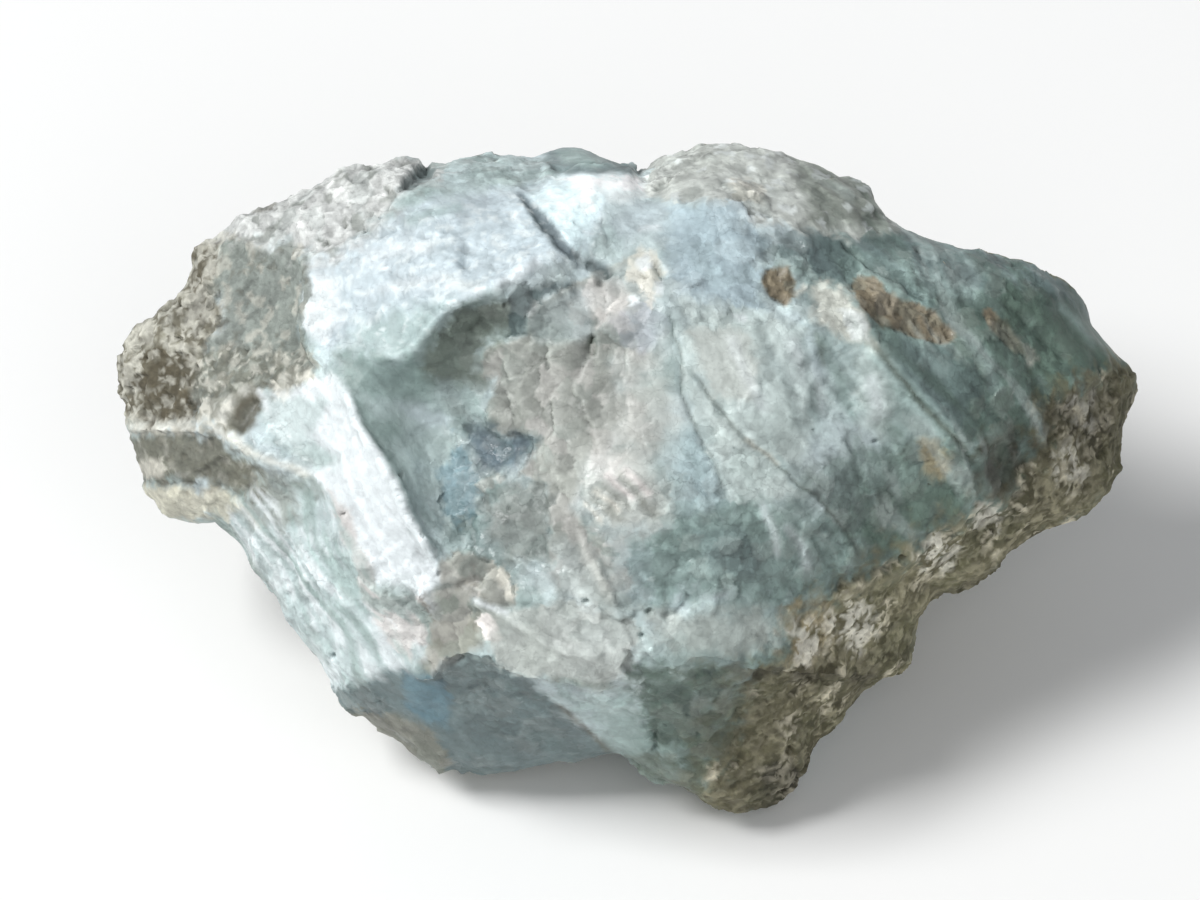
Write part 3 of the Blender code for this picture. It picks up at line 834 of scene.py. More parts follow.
SNOW = colour(238, 245, 247)
ICE = colour(206, 220, 226)
PALE_BLUE = colour(196, 211, 211)
SEA = colour(176, 198, 194)
TEAL = colour(132, 154, 148)
DEEP_TEAL = colour(92, 112, 100)
DARK_STEEL = colour(80, 96, 98)
STEEL = colour(104, 121, 122)
BLUE_STEEL = colour(110, 146, 160)
MIST = colour(206, 219, 215)
LILAC = colour(196, 200, 214)
SKY = colour(176, 199, 203)
COLD_WHITE = colour(232, 252, 255)
WEDGE_GREY = colour(128, 142, 148)
FILM_GREY = colour(162, 164, 156)
FILM_LIGHT = colour(202, 205, 198)
BLUSH = colour(226, 220, 216)
CREAM = colour(236, 233, 220)
BASALT_GREY = colour(139, 145, 137)
BASALT_BROWN = colour(140, 136, 120)
BASALT_DARK_AND_SHADOW = colour(92, 86, 70)
SPECKLED = colour(196, 195, 184)
GRANULAR_GREY = colour(206, 207, 204)
FOREST = colour(108, 118, 106)
NUB_GREY = colour(120, 120, 106)
CRUST_BROWN = colour(130, 125, 99)
CRUST_PALE = colour(214, 207, 184)
CRUST_DARK_AND_SHADOW = colour(72, 68, 50)
OCHRE = colour(186, 168, 128)
CLAY_BROWN = colour(138, 128, 108)
OLIVE = colour(114, 113, 86)
WHITE = colour(246, 255, 255)
HAZE = colour(186, 206, 214)
SLATE_BLUE = colour(104, 120, 130)
SLATE = colour(146, 150, 144)
SLOT_GREY = colour(112, 112, 98)
print("snow", SNOW.round(3), "forest", FOREST.round(3))

# %% [markdown]
# Broken crystal takes its colour flake by flake, so an edge between two colours follows the flakes and isn't
# a clean line. Each point therefore takes most of its place from the middle of its flake when the washes are
# laid.

# %% Flakes
def mosaic(place, size, seed):
    """The middle of the flake that each point is in, and two random numbers of the flake."""
    nearest = np.full(len(place), 9.0)
    middle = place.copy()
    numbers = np.zeros((len(place), 2))
    for away, first, second in around(place, size, seed):
        gap = (away ** 2).sum(axis=1)
        closer = gap < nearest
        nearest = np.where(closer, gap, nearest)
        middle = np.where(closer[:, None], place - away * size, middle)
        numbers = np.where(closer[:, None], np.stack((first, second), axis=1), numbers)
    return middle, numbers


def rim_light_and_shadow(place, size, seed, width=0.22):
    """Painted highlight above 0 on each flake's lit left rim, painted shadow below 0 just outside it."""
    nearest = np.full(len(place), 9.0)
    second = nearest.copy()
    left = np.zeros(len(place))
    for away, _, _ in around(place, size, seed):
        gap = np.sqrt((away ** 2).sum(axis=1))
        closer = gap < nearest
        second = np.where(closer, nearest, np.minimum(second, gap))
        left = np.where(closer, -away[:, 0], left)
        nearest = np.where(closer, gap, nearest)
    return smooth(width, 0.0, second - nearest) * np.clip(left * 3, -1, 1)


CALM_FACES = [
    ((312, 262), (400, 225), (520, 195), (600, 180), (600, 250), (520, 275), (455, 305), (410, 345),
     (320, 340)),
    ((300, 395), (340, 380), (415, 525), (437, 575), (380, 570), (340, 490), (290, 440)),
    ((345, 360), (430, 370), (460, 430), (430, 545)),
    ((700, 330), (890, 340), (960, 430), (850, 470), (740, 430)),
]

skin.place = read_all(stone.data.attributes["first_place"].data, "vector", 3).astype(float)
areas = mineral_areas(skin)
torn = torn_place(skin.place)
_, wide_numbers = mosaic(torn, *WIDE_FLAKE)
middle_middle, middle_numbers = mosaic(torn, *MIDDLE_FLAKE)
small_middle, small_numbers = mosaic(torn, *SMALL_FLAKE)
calm = np.maximum.reduce([wash(skin, outline, 1.5, 1.0) for outline in CALM_FACES])
flaky = lively(skin.place) * 0.6 + 0.4
flaky = (1 - 0.7 * calm) * np.maximum(flaky, wash(skin, CHIPPED, 0.8, 0.4))
flake_shift = 0.5 * (middle_middle + small_middle) - skin.place
true_u, true_v = skin.u, skin.v
skin.u = true_u + 0.7 * flaky * flake_shift[:, 0]
skin.v = true_v + 0.7 * flaky * flake_shift[:, 1]
print("flaky", round(float(flaky.mean()), 3), "calm", round(float(calm.mean()), 3))

# %% The first washes
paint = np.tile(PALE_BLUE, (skin.count, 1))


def lay(tint, weight):
    """Lay a colour over the paint, as much as weight says at each point."""
    paint[:] = paint + (tint - paint) * np.clip(weight, 0, 1)[:, None]


def tell_paint(step):
    """Print the mean of the paint so far."""
    print(step, "paint", paint.mean(axis=0).round(3))


def lay_washes(step, table):
    """Lay every wash of a table: its colour, strength, soft edge, ragged edge and outline."""
    for tint, strength, blunt, ragged, outline in table:
        lay(tint, strength * wash(skin, outline, blunt, ragged))
    tell_paint(step)


cloud = noise(skin.place, 9.0, 101, 4, 0.6)
lay(ICE, smooth(-0.1, 0.5, cloud) * 0.6)
lay(TEAL, smooth(0.05, -0.5, cloud) * 0.6)

RIGHT_BASE = (
    (770, 260), (900, 200), (1180, 230), (1180, 560), (900, 780), (700, 860), (600, 740), (700, 620),
    (830, 540), (880, 440),
)
EDGE_BASE = (
    (960, 300), (1180, 230), (1180, 560), (900, 780), (700, 860), (680, 740), (760, 640), (980, 480),
    (1020, 400),
)
lay(TEAL, 0.75 * wash(skin, RIGHT_BASE, 3.0, 1.5))
lay(DEEP_TEAL, 0.7 * wash(skin, EDGE_BASE, 2.5, 1.5))
tell_paint("base")

# %% Washes of the left end
LEFT_WASHES = [
    (PALE_BLUE, 0.9, 0.6, 0.8, ((214, 522), (262, 478), (300, 470), (335, 500), (352, 545), (395, 600),
     (430, 610), (425, 660), (345, 688), (330, 684), (255, 562))),
    (FOREST, 0.6, 0.5, 0.6, ((212, 520), (232, 524), (276, 600), (225, 545))),
    (SPECKLED, 0.9, 0.4, 0.8, ((198, 352), (240, 345), (300, 350), (320, 376), (290, 398), (262, 388),
     (262, 402), (238, 434), (198, 416), (194, 384))),
    (BASALT_BROWN, 0.95, 0.4, 0.6, ((80, 410), (80, 330), (150, 240), (190, 225), (222, 240), (218, 290),
     (222, 330), (205, 345), (198, 420), (150, 424))),
    (BASALT_DARK_AND_SHADOW, 0.8, 0.5, 0.9, ((148, 352), (185, 350), (196, 372), (196, 420), (160, 422), (140, 398),
     (120, 392))),
    (BASALT_DARK_AND_SHADOW, 0.7, 0.4, 0.6, ((190, 262), (205, 246), (220, 244), (208, 300), (214, 314), (200, 320),
     (188, 300))),
    (NUB_GREY, 0.95, 0.9, 1.2, ((100, 434), (180, 430), (222, 438), (262, 478), (262, 500), (200, 484),
     (100, 482))),
    (NUB_GREY, 0.6, 1.4, 2.4, ((240, 452), (290, 476), (306, 500), (286, 540), (240, 494))),
    (FOREST, 0.5, 0.6, 1.2, ((296, 464), (318, 472), (330, 492), (318, 500), (300, 488))),
    (CREAM, 0.7, 0.3, 0.4, ((124, 412), (190, 420), (210, 430), (180, 434), (130, 432))),
    (CRUST_PALE, 0.75, 0.4, 0.5, ((140, 486), (225, 490), (240, 505), (224, 520), (150, 520))),
    (CREAM, 0.7, 0.3, 0.4, ((138, 458), (160, 460), (172, 468), (156, 478), (136, 478))),
]
print(len(LEFT_WASHES), "washes")

# %% Washes of the bright faces
BRIGHT_WASHES = [
    (ICE, 0.95, 0.6, 0.6, ((308, 262), (440, 195), (520, 188), (575, 170), (640, 174), (604, 200),
     (596, 250), (548, 262), (455, 305), (440, 324), (410, 345), (370, 352), (325, 350), (303, 322),
     (312, 300))),
    (SNOW, 0.6, 0.6, 0.8, ((316, 275), (338, 280), (345, 320), (330, 345), (306, 325), (316, 300))),
    (SEA, 0.75, 1.6, 1.2, ((360, 322), (452, 300), (440, 330), (412, 356), (345, 352))),
    (SEA, 0.3, 0.6, 0.8, ((430, 158), (546, 158), (560, 176), (520, 188), (400, 205))),
    # The saddle and the face right of the groove: their pale colour, laid whiter as painted light where they
    # face the window.
    (WHITE, 0.95, 0.4, 0.5, ((550, 177), (640, 174), (664, 186), (642, 200), (618, 206), (600, 200),
     (588, 190))),
    (COLD_WHITE, 1.0, 1.0, 1.0, ((545, 186), (594, 180), (602, 200), (573, 256), (528, 196))),
    (SEA, 0.5, 1.0, 1.0, ((598, 226), (608, 224), (618, 240), (616, 258), (600, 264), (584, 258))),
    (WHITE, 0.95, 0.4, 0.4, ((309, 288), (330, 286), (334, 310), (330, 336), (312, 332), (304, 318))),
    (SNOW, 0.95, 0.5, 0.5, ((262, 400), (335, 375), (350, 395), (360, 425), (395, 480), (415, 525),
     (437, 560), (440, 600), (400, 598), (372, 575), (352, 545), (344, 510), (320, 480), (268, 430))),
    (SEA, 0.5, 0.4, 0.5, ((262, 400), (300, 395), (330, 400), (310, 440), (340, 458), (320, 470),
     (280, 450), (262, 425))),
    (BLUSH, 0.8, 0.4, 0.6, ((330, 490), (352, 510), (360, 550), (392, 590), (437, 600), (424, 640),
     (410, 660), (385, 640), (352, 560))),
    (SNOW, 0.7, 0.4, 0.4, ((303, 600), (312, 612), (322, 650), (340, 684), (326, 676), (310, 640))),
]
print(len(BRIGHT_WASHES), "washes")

# %% Washes of the valley and the film
MIDDLE_WASHES = [
    (TEAL, 0.4, 0.8, 1.2, ((335, 352), (425, 358), (440, 378), (480, 380), (490, 400), (488, 430),
     (470, 425), (465, 470), (478, 480), (545, 483), (552, 530), (545, 556), (520, 562), (472, 550),
     (438, 560), (360, 425), (335, 374))),
    (TEAL, 0.7, 0.8, 0.6, ((338, 354), (425, 366), (440, 384), (430, 400), (380, 402), (350, 388))),
    (FOREST, 0.85, 0.9, 0.8, ((436, 335), (465, 312), (500, 300), (510, 310), (512, 330), (484, 350),
     (480, 368), (490, 390), (425, 378), (425, 355))),
    (DARK_STEEL, 0.85, 0.3, 0.4, ((505, 303), (520, 290), (548, 282), (562, 281), (571, 287), (535, 307),
     (526, 318), (520, 336), (508, 334))),
    (ICE, 0.5, 0.5, 0.5, ((398, 404), (456, 418), (440, 426), (412, 420))),
    (STEEL, 0.45, 1.0, 1.6, ((478, 492), (500, 484), (546, 486), (552, 530), (544, 556), (515, 560),
     (450, 540), (455, 510))),
    (BLUE_STEEL, 0.6, 0.6, 1.6, ((456, 436), (470, 445), (478, 480), (472, 518), (450, 522), (444, 490))),
    # Painted shadow in the recess under the film's scalloped edge.
    (STEEL, 0.8, 0.8, 1.2, ((468, 424), (488, 428), (492, 440), (534, 438), (520, 470), (478, 470))),
    (FILM_LIGHT, 0.8, 0.2, 0.3, ((476, 492), (478, 480), (500, 474), (508, 476), (484, 492))),
    (BLUSH, 0.5, 0.5, 0.5, ((578, 285), (602, 284), (624, 300), (630, 330), (605, 338))),
    (FILM_LIGHT, 0.75, 1.0, 0.8, ((580, 452), (630, 450), (664, 484), (670, 515), (640, 530), (600, 520),
     (574, 490))),
    (FILM_LIGHT, 0.3, 1.0, 0.8, ((548, 530), (580, 530), (632, 610), (600, 612), (556, 600))),
    (FILM_LIGHT, 0.6, 1.2, 0.8, ((600, 400), (660, 380), (684, 420), (690, 460), (600, 440))),
    (CREAM, 0.8, 0.4, 1.2, ((628, 262), (645, 252), (657, 255), (667, 272), (662, 292), (650, 304),
     (638, 298))),
    (LILAC, 0.4, 0.8, 1.0, ((622, 318), (640, 310), (662, 316), (662, 335), (646, 345), (642, 358),
     (620, 335))),
    (FILM_GREY, 0.9, 0.3, 0.4, ((440, 562), (458, 552), (472, 549), (508, 570), (517, 604), (480, 600),
     (455, 590), (442, 600))),
    (CREAM, 0.6, 0.2, 0.3, ((488, 562), (503, 564), (514, 585), (516, 602), (502, 590))),
    (BASALT_BROWN, 0.6, 0.4, 0.5, ((424, 600), (470, 580), (486, 592), (474, 600), (480, 642), (430, 676),
     (420, 660), (430, 640), (420, 612))),
    (BLUSH, 0.8, 0.25, 0.3, ((478, 618), (490, 613), (499, 625), (500, 641), (488, 641), (480, 632))),
    (FILM_LIGHT, 0.7, 0.5, 0.5, ((484, 645), (500, 610), (560, 600), (632, 615), (640, 640), (622, 682),
     (600, 686), (500, 667))),
]
print(len(MIDDLE_WASHES), "washes")

# %% Washes of the right side
RIGHT_WASHES = [
    (HAZE, 0.85, 1.2, 1.6, ((690, 203), (735, 201), (752, 226), (764, 245), (760, 312), (690, 302),
     (668, 262), (668, 212))),
    (MIST, 0.75, 0.8, 0.8, ((684, 300), (760, 312), (800, 330), (812, 400), (802, 460), (766, 458),
     (740, 440), (700, 390), (680, 350))),
    (SKY, 0.6, 1.8, 1.4, ((664, 440), (692, 425), (712, 462), (730, 515), (716, 545), (680, 532))),
    (SKY, 0.6, 1.8, 1.4, ((612, 540), (680, 545), (700, 570), (684, 596), (650, 606), (630, 600))),
    (MIST, 0.8, 0.5, 0.5, ((682, 366), (740, 440), (766, 458), (800, 492), (760, 504), (728, 502),
     (692, 425))),
    (FILM_LIGHT, 0.6, 0.6, 0.8, ((690, 330), (740, 330), (760, 360), (750, 400), (715, 395), (696, 365))),
    (MIST, 0.6, 1.0, 1.0, ((850, 345), (888, 352), (892, 404), (880, 436), (856, 430))),
    (DARK_STEEL, 0.75, 0.4, 0.6, ((772, 238), (800, 228), (835, 234), (852, 262), (852, 282), (820, 280),
     (800, 262), (782, 264))),
    (STEEL, 0.75, 0.8, 0.8, ((800, 160), (850, 168), (892, 205), (900, 226), (1060, 262), (1100, 320),
     (900, 272), (812, 226))),
    (TEAL, 0.8, 1.6, 1.6, ((840, 262), (985, 300), (1010, 400), (980, 440), (955, 432), (900, 376),
     (868, 335))),
    (DEEP_TEAL, 0.7, 1.6, 1.6, ((940, 300), (985, 300), (1004, 345), (1050, 395), (1040, 430), (1012, 470),
     (985, 440), (960, 440))),
    (DEEP_TEAL, 0.75, 0.8, 0.8, ((1000, 280), (1070, 300), (1110, 360), (1050, 395), (1004, 340))),
    (STEEL, 0.5, 0.6, 0.8, ((880, 335), (945, 346), (980, 380), (955, 430), (900, 376))),
    (DEEP_TEAL, 0.6, 1.4, 2.0, ((796, 480), (850, 450), (930, 440), (985, 450), (1000, 480), (960, 515),
     (880, 562), (862, 564))),
    (DEEP_TEAL, 0.6, 0.8, 0.8, ((880, 490), (960, 480), (990, 490), (960, 518), (870, 560), (860, 530))),
    (TEAL, 0.85, 1.4, 1.6, ((640, 540), (700, 505), (760, 500), (830, 520), (862, 568), (820, 592),
     (780, 602), (690, 592), (650, 610))),
    (STEEL, 0.5, 0.5, 0.8, ((690, 530), (740, 525), (765, 560), (750, 580), (700, 560))),
    (SEA, 0.45, 1.0, 1.2, ((690, 605), (740, 600), (792, 615), (785, 650), (740, 662), (645, 648),
     (638, 628))),
    (OCHRE, 0.5, 0.8, 0.8, ((915, 442), (935, 440), (945, 470), (930, 480), (918, 465))),
]
print(len(RIGHT_WASHES), "washes")

# %% Washes of the dome, the crust and the underside
EDGE_WASHES = [
    (FILM_LIGHT, 0.85, 0.5, 0.8, DOME),
    (FOREST, 0.6, 0.8, 0.8, ((790, 158), (850, 168), (892, 212), (890, 230), (812, 226))),
    (CREAM, 0.7, 0.3, 0.5, ((733, 180), (762, 186), (764, 205), (748, 206), (733, 200))),
    (GRANULAR_GREY, 0.9, 1.2, 1.6, GRANULAR_BAND),
    (BASALT_DARK_AND_SHADOW, 0.6, 0.3, 0.4, ((248, 208), (262, 204), (276, 206), (262, 214))),
    (DEEP_TEAL, 0.6, 6.0, 5.0, CRUST),
    (OLIVE, 0.85, 2.6, 4.0, CRUST),
    (CRUST_BROWN, 0.85, 1.6, 3.4, CRUST),
    (OCHRE, 0.5, 0.8, 1.0, ((780, 610), (820, 600), (838, 640), (810, 664), (785, 660))),
    # Olive and dark in the hollow before the crust: its colour, darkened as painted shade.
    (OLIVE, 0.5, 1.0, 1.4, ((978, 436), (1018, 436), (1018, 492), (985, 494))),
    (CRUST_DARK_AND_SHADOW, 0.5, 1.8, 2.6, ((974, 474), (990, 440), (1022, 435), (1016, 486), (992, 502))),
    # Painted shadow under the ledge over the underside.
    (CRUST_DARK_AND_SHADOW, 0.8, 0.3, 0.4, ((742, 665), (800, 664), (850, 668), (880, 676), (850, 684), (750, 680))),
    (CRUST_DARK_AND_SHADOW, 0.8, 0.4, 0.5, ((762, 772), (780, 764), (802, 768), (800, 806), (770, 812))),
    # The underside below the lower ledge faces the floor: its deep teal is laid darker, partly as painted
    # shade.
    (DEEP_TEAL, 0.9, 1.2, 2.4, ((626, 668), (700, 660), (740, 665), (735, 700), (700, 775), (650, 765),
     (648, 730))),
    (SEA, 0.4, 0.3, 0.6, ((690, 690), (712, 688), (716, 704), (700, 712), (690, 704))),
    (SEA, 0.4, 0.3, 0.6, ((656, 744), (680, 740), (690, 752), (676, 760), (660, 756))),
    (SEA, 0.7, 1.4, 1.6, ((560, 690), (622, 690), (636, 716), (632, 746), (618, 750))),
    (FOREST, 0.7, 0.6, 0.6, ((620, 750), (660, 755), (700, 780), (700, 812), (640, 780))),
    (OLIVE, 0.5, 2.4, 3.0, ((712, 670), (745, 668), (745, 730), (700, 808), (676, 800))),
    # The lower left lobe faces down: its steel blue-grey is partly the stone's colour, partly painted shade.
    (STEEL, 0.95, 0.4, 0.5, ((328, 682), (345, 688), (400, 662), (425, 674), (470, 650), (500, 662),
     (545, 690), (617, 757), (560, 790), (455, 790), (400, 750), (335, 710))),
    (BLUE_STEEL, 0.7, 0.6, 0.7, ((402, 672), (440, 680), (452, 700), (448, 730), (408, 708))),
    (BASALT_BROWN, 0.7, 0.4, 0.5, ((335, 706), (400, 714), (430, 728), (450, 760), (440, 790), (400, 760),
     (350, 730))),
]
SLOT_SIDE = (
    (196, 352), (240, 346), (300, 352), (318, 376), (290, 398), (262, 402), (240, 436), (200, 430),
    (194, 384),
)
DARK_END = ((125, 384), (150, 352), (186, 350), (198, 376), (197, 420), (160, 424), (128, 408))
PALE_GRAINS = [
    ((915, 545), (935, 535), (955, 545), (948, 570), (920, 572)),
    ((968, 512), (985, 500), (1004, 506), (998, 526), (974, 526)),
    ((830, 612), (850, 602), (872, 604), (872, 636), (846, 650), (830, 636)),
    ((1056, 446), (1076, 446), (1080, 470), (1066, 486), (1054, 470)),
    ((1068, 396), (1090, 398), (1090, 426), (1070, 426)),
    ((782, 620), (804, 616), (820, 650), (800, 664), (784, 650)),
]
print(len(EDGE_WASHES), "washes and", len(PALE_GRAINS), "groups of pale grains")

# %% [markdown]
# The washes are laid from the left to the right, and the grey end and the crust over them. Each grain of the
# crust is then pale or dark by its own number, in groups, as its crystals are.

# %% Lay them, then the grains of crust and basalt
lay(FILM_GREY, 0.9 * areas.film)
lay_washes("faces", LEFT_WASHES + BRIGHT_WASHES + MIDDLE_WASHES + RIGHT_WASHES)
behind = areas.back * (1 - areas.window)
grey_end = wash(skin, BASALT_END, 0.4, 1.1, 3.0) * (1 - 0.9 * wash(skin, WEATHERED_END, 0.6, 1.2, 2.5))
lay(BASALT_GREY, 0.9 * np.maximum(grey_end, areas.basalt * behind))
lay(CRUST_BROWN, 0.95 * areas.crust * behind)
lay(FOREST, 0.45 * areas.back * areas.window * smooth(-0.2, 0.3, noise(torn, 3.5, 145, 3, 0.6)))
lay_washes("edges", EDGE_WASHES)
_, grain_numbers = mosaic(torn, *GRAIN)
mottle = 0.45 * grain_numbers[:, 0] + 0.35 * small_numbers[:, 0] + 0.20 * middle_numbers[:, 0]
pale_groups = smooth(0.05, 0.40, noise(skin.place, 4.5, 140, 2))
dark_groups = smooth(-0.05, 0.35, noise(skin.place, 5.5, 141, 2))
core = smooth(0.45, 0.95, areas.crust)
lay(OLIVE, 0.7 * core * smooth(0.0, 0.25, noise(skin.place, 7.0, 128, 2)))
lay(CRUST_DARK_AND_SHADOW, core * (0.18 + 0.52 * dark_groups) * smooth(0.60, 0.30, mottle))
lay(CRUST_PALE, core * (0.18 + 0.77 * pale_groups) * smooth(0.42, 0.66, mottle))
drawn_groups = np.maximum.reduce([wash(skin, outline, 0.8, 1.4) for outline in PALE_GRAINS])
lay(CREAM, 0.75 * drawn_groups * smooth(0.36, 0.56, mottle))
dark_end = wash(skin, DARK_END, 0.8, 1.2)
lay(SPECKLED, 0.75 * areas.weathered * smooth(0.40 + 0.12 * dark_end, 0.62 + 0.12 * dark_end, mottle))
lay(BASALT_DARK_AND_SHADOW, (0.55 + 0.35 * dark_end) * areas.weathered * smooth(0.48 + 0.12 * dark_end, 0.30, mottle))
lay(SPECKLED, 0.6 * areas.basalt * smooth(0.22, 0.34, noise(torn, 1.7, 127, 2)))
slot_side = wash(skin, SLOT_SIDE, 0.6, 1.0)
lay(NUB_GREY, 0.55 * slot_side * smooth(0.52, 0.38, mottle))
lay(CREAM, 0.45 * slot_side * smooth(0.52, 0.66, mottle))
skin.u, skin.v = true_u, true_v
tell_paint("washed")

# %% [markdown]
# Some faces are painted lighter or darker than their mineral, as light and shade that the lamps don't give
# them: the paint inside an outline is multiplied by one number, below 1 as painted shade on faces under
# overhangs or turned from the window, above 1 as painted light where a face should catch more of it. A few
# small washes with crisp edges follow.

# %% Painted shade and light
PAINTED_SHADE_AND_LIGHT = [
    (0.82, 0.5, 0.6, ((700, 668), (742, 664), (865, 674), (880, 690), (806, 790), (770, 830), (730, 830))),
    (0.72, 0.4, 0.6, ((935, 596), (985, 572), (1000, 555), (1036, 540), (1060, 545), (1000, 600),
     (940, 640))),
    (0.8, 1.5, 1.0, ((1040, 400), (1180, 360), (1180, 470), (1130, 460), (1090, 420), (1050, 440))),
    (0.86, 1.0, 0.8, ((560, 520), (600, 530), (640, 560), (660, 600), (640, 620), (600, 600), (560, 560))),
    (1.1, 0.8, 1.0, ((760, 330), (780, 330), (800, 380), (812, 430), (800, 440), (778, 400))),
    (1.27, 0.8, 0.5, ((541, 184), (560, 176), (592, 180), (598, 205), (590, 238), (578, 252), (560, 234))),
    (1.3, 0.5, 0.4, ((556, 174), (650, 172), (668, 184), (640, 192), (590, 188))),
    (0.75, 0.8, 1.0, ((470, 425), (530, 425), (530, 470), (478, 472))),
    (0.72, 0.6, 0.8, ((978, 436), (1018, 436), (1018, 492), (985, 494))),
    (0.8, 0.4, 0.6, ((762, 762), (802, 762), (802, 802), (766, 802))),
    (1.24, 0.8, 0.8, ((800, 692), (852, 690), (852, 742), (802, 742))),
    (0.88, 0.8, 0.8, ((955, 296), (1003, 296), (1003, 402), (962, 402))),
    (1.08, 0.8, 0.8, ((898, 346), (962, 350), (962, 404), (905, 402))),
    (1.08, 0.8, 0.8, ((745, 326), (802, 328), (806, 404), (752, 402))),
    (1.1, 0.8, 0.8, ((128, 328), (192, 328), (192, 382), (128, 382))),
    (1.08, 0.8, 0.8, ((338, 618), (404, 618), (404, 664), (340, 664))),
    (1.1, 0.8, 0.8, ((398, 438), (462, 438), (462, 502), (400, 502))),
    (0.9, 1.0, 1.0, ((516, 496), (584, 496), (590, 552), (524, 556))),
    (0.9, 1.0, 1.0, ((646, 686), (722, 686), (722, 752), (650, 752))),
    (0.93, 1.0, 1.0, ((796, 476), (854, 476), (854, 534), (800, 534))),
    (0.94, 0.5, 0.6, ((630, 260), (662, 260), (664, 300), (634, 302))),
    (1.1, 0.8, 0.8, ((616, 732), (684, 732), (690, 784), (630, 778))),
    (1.1, 1.0, 1.0, ((500, 196), (518, 192), (560, 250), (480, 290), (440, 276), (450, 230))),
    (0.9, 1.0, 1.0, ((500, 480), (545, 484), (552, 530), (540, 600), (600, 612), (560, 640), (500, 640),
     (480, 560))),
    (0.84, 1.0, 1.0, ((440, 372), (486, 376), (490, 430), (470, 432), (446, 410))),
    (0.9, 1.0, 1.0, ((500, 300), (590, 290), (610, 340), (620, 420), (560, 470), (520, 440), (490, 380))),
    (1.12, 0.8, 1.0, ((596, 452), (630, 462), (668, 500), (660, 528), (620, 520), (594, 490))),
    (1.08, 1.0, 1.0, ((225, 215), (300, 175), (400, 160), (380, 222), (320, 252), (240, 238))),
    (0.85, 0.5, 0.8, ((110, 432), (222, 432), (240, 470), (228, 486), (110, 484))),
    (0.9, 1.6, 1.6, ((640, 560), (700, 520), (800, 540), (840, 580), (760, 640), (680, 640))),
    (0.87, 1.6, 1.6, ((780, 470), (840, 460), (900, 480), (880, 550), (820, 560), (790, 520))),
    (0.88, 1.2, 1.2, ((950, 300), (1000, 310), (1010, 400), (960, 420), (945, 360))),
    (0.62, 2.0, 2.0, ((1030, 396), (1081, 384), (1104, 430), (1060, 440), (1024, 470), (1010, 500),
     (975, 505), (975, 470))),
    (0.8, 1.6, 1.8, ((1080, 380), (1150, 380), (1150, 470), (1090, 500), (1050, 490), (1080, 440))),
    (0.85, 1.2, 1.4, ((640, 690), (700, 680), (716, 740), (690, 790), (650, 770))),
    (0.7, 0.8, 1.0, ((762, 762), (804, 760), (812, 800), (780, 830), (740, 820))),
    (1.22, 1.2, 1.0, ((820, 600), (960, 530), (980, 570), (900, 640), (830, 660))),
]
# Below 1 is painted shade, above 1 painted light.
for shade, blunt, ragged, outline in PAINTED_SHADE_AND_LIGHT:
    paint *= 1 - (1 - shade) * wash(skin, outline, blunt, ragged)[:, None]
tell_paint("shaded")

# %% Crisp washes
CRISP_WASHES = [
    # Painted shade: the dark hole near the top edge, and next the lens of far surface behind the top edge.
    (DARK_STEEL, 0.8, 0.3, 0.4, ((396, 192), (404, 180), (426, 164), (436, 168), (435, 178), (410, 192))),
    (STEEL, 0.75, 0.3, 0.1, ((542, 162), (552, 140), (590, 136), (646, 174), (575, 176), (552, 172))),
    (SEA, 0.7, 0.4, 0.2, ((556, 150), (580, 148), (606, 160), (596, 168), (564, 164))),
    # The groove's grey, partly painted shade on its walls.
    (WEDGE_GREY, 0.9, 0.2, 0.1, WEDGE),
    (CREAM, 0.6, 0.6, 1.2, ((808, 292), (826, 282), (858, 300), (874, 352), (832, 336), (812, 316))),
    (WHITE, 0.6, 0.25, 0.8, ((838, 312), (852, 306), (862, 320), (866, 342), (852, 340))),
    (OCHRE, 0.6, 0.5, 0.9, ((918, 444), (934, 440), (946, 462), (940, 478), (924, 470))),
    (FILM_LIGHT, 0.5, 1.2, 1.6, ((640, 612), (766, 612), (780, 640), (740, 656), (680, 652))),
    (CREAM, 0.7, 0.3, 0.5, ((1018, 342), (1026, 346), (1034, 360), (1030, 366), (1020, 356))),
    (SNOW, 0.8, 0.12, 0.0, ((628, 299), (636, 297), (639, 305), (631, 309))),
    (SNOW, 0.7, 0.15, 0.3, ((634, 262), (648, 256), (652, 266), (640, 272))),
    (SNOW, 0.7, 0.15, 0.3, ((655, 284), (663, 280), (664, 294), (655, 298))),
    # Painted shadow in the recess under the film's scalloped edge.
    (SLATE_BLUE, 0.75, 0.9, 0.8, ((478, 422), (500, 438), (532, 437), (518, 470), (482, 470), (472, 446))),
    (SLATE, 0.6, 1.0, 1.4, ((496, 484), (552, 482), (556, 566), (516, 562), (492, 540), (484, 508))),
    (DARK_STEEL, 0.5, 0.3, 0.4, ((757, 238), (766, 236), (770, 252), (764, 260), (757, 254))),
    # Painted shade in the groove at the end of the crack.
    (DARK_STEEL, 0.6, 0.3, 0.3, ((575, 258), (606, 268), (612, 280), (600, 284))),
    (SEA, 0.5, 0.8, 0.4, ((290, 450), (315, 446), (340, 455), (336, 468), (306, 464))),
    (SLOT_GREY, 0.9, 0.5, 0.9, ((226, 432), (228, 412), (242, 396), (262, 388), (268, 402), (246, 434))),
]
lay_washes("crisp", CRISP_WASHES)
for outline in CLAY:
    lay(CLAY_BROWN, wash(skin, outline, 0.18, 0.2))
tell_paint("clay")
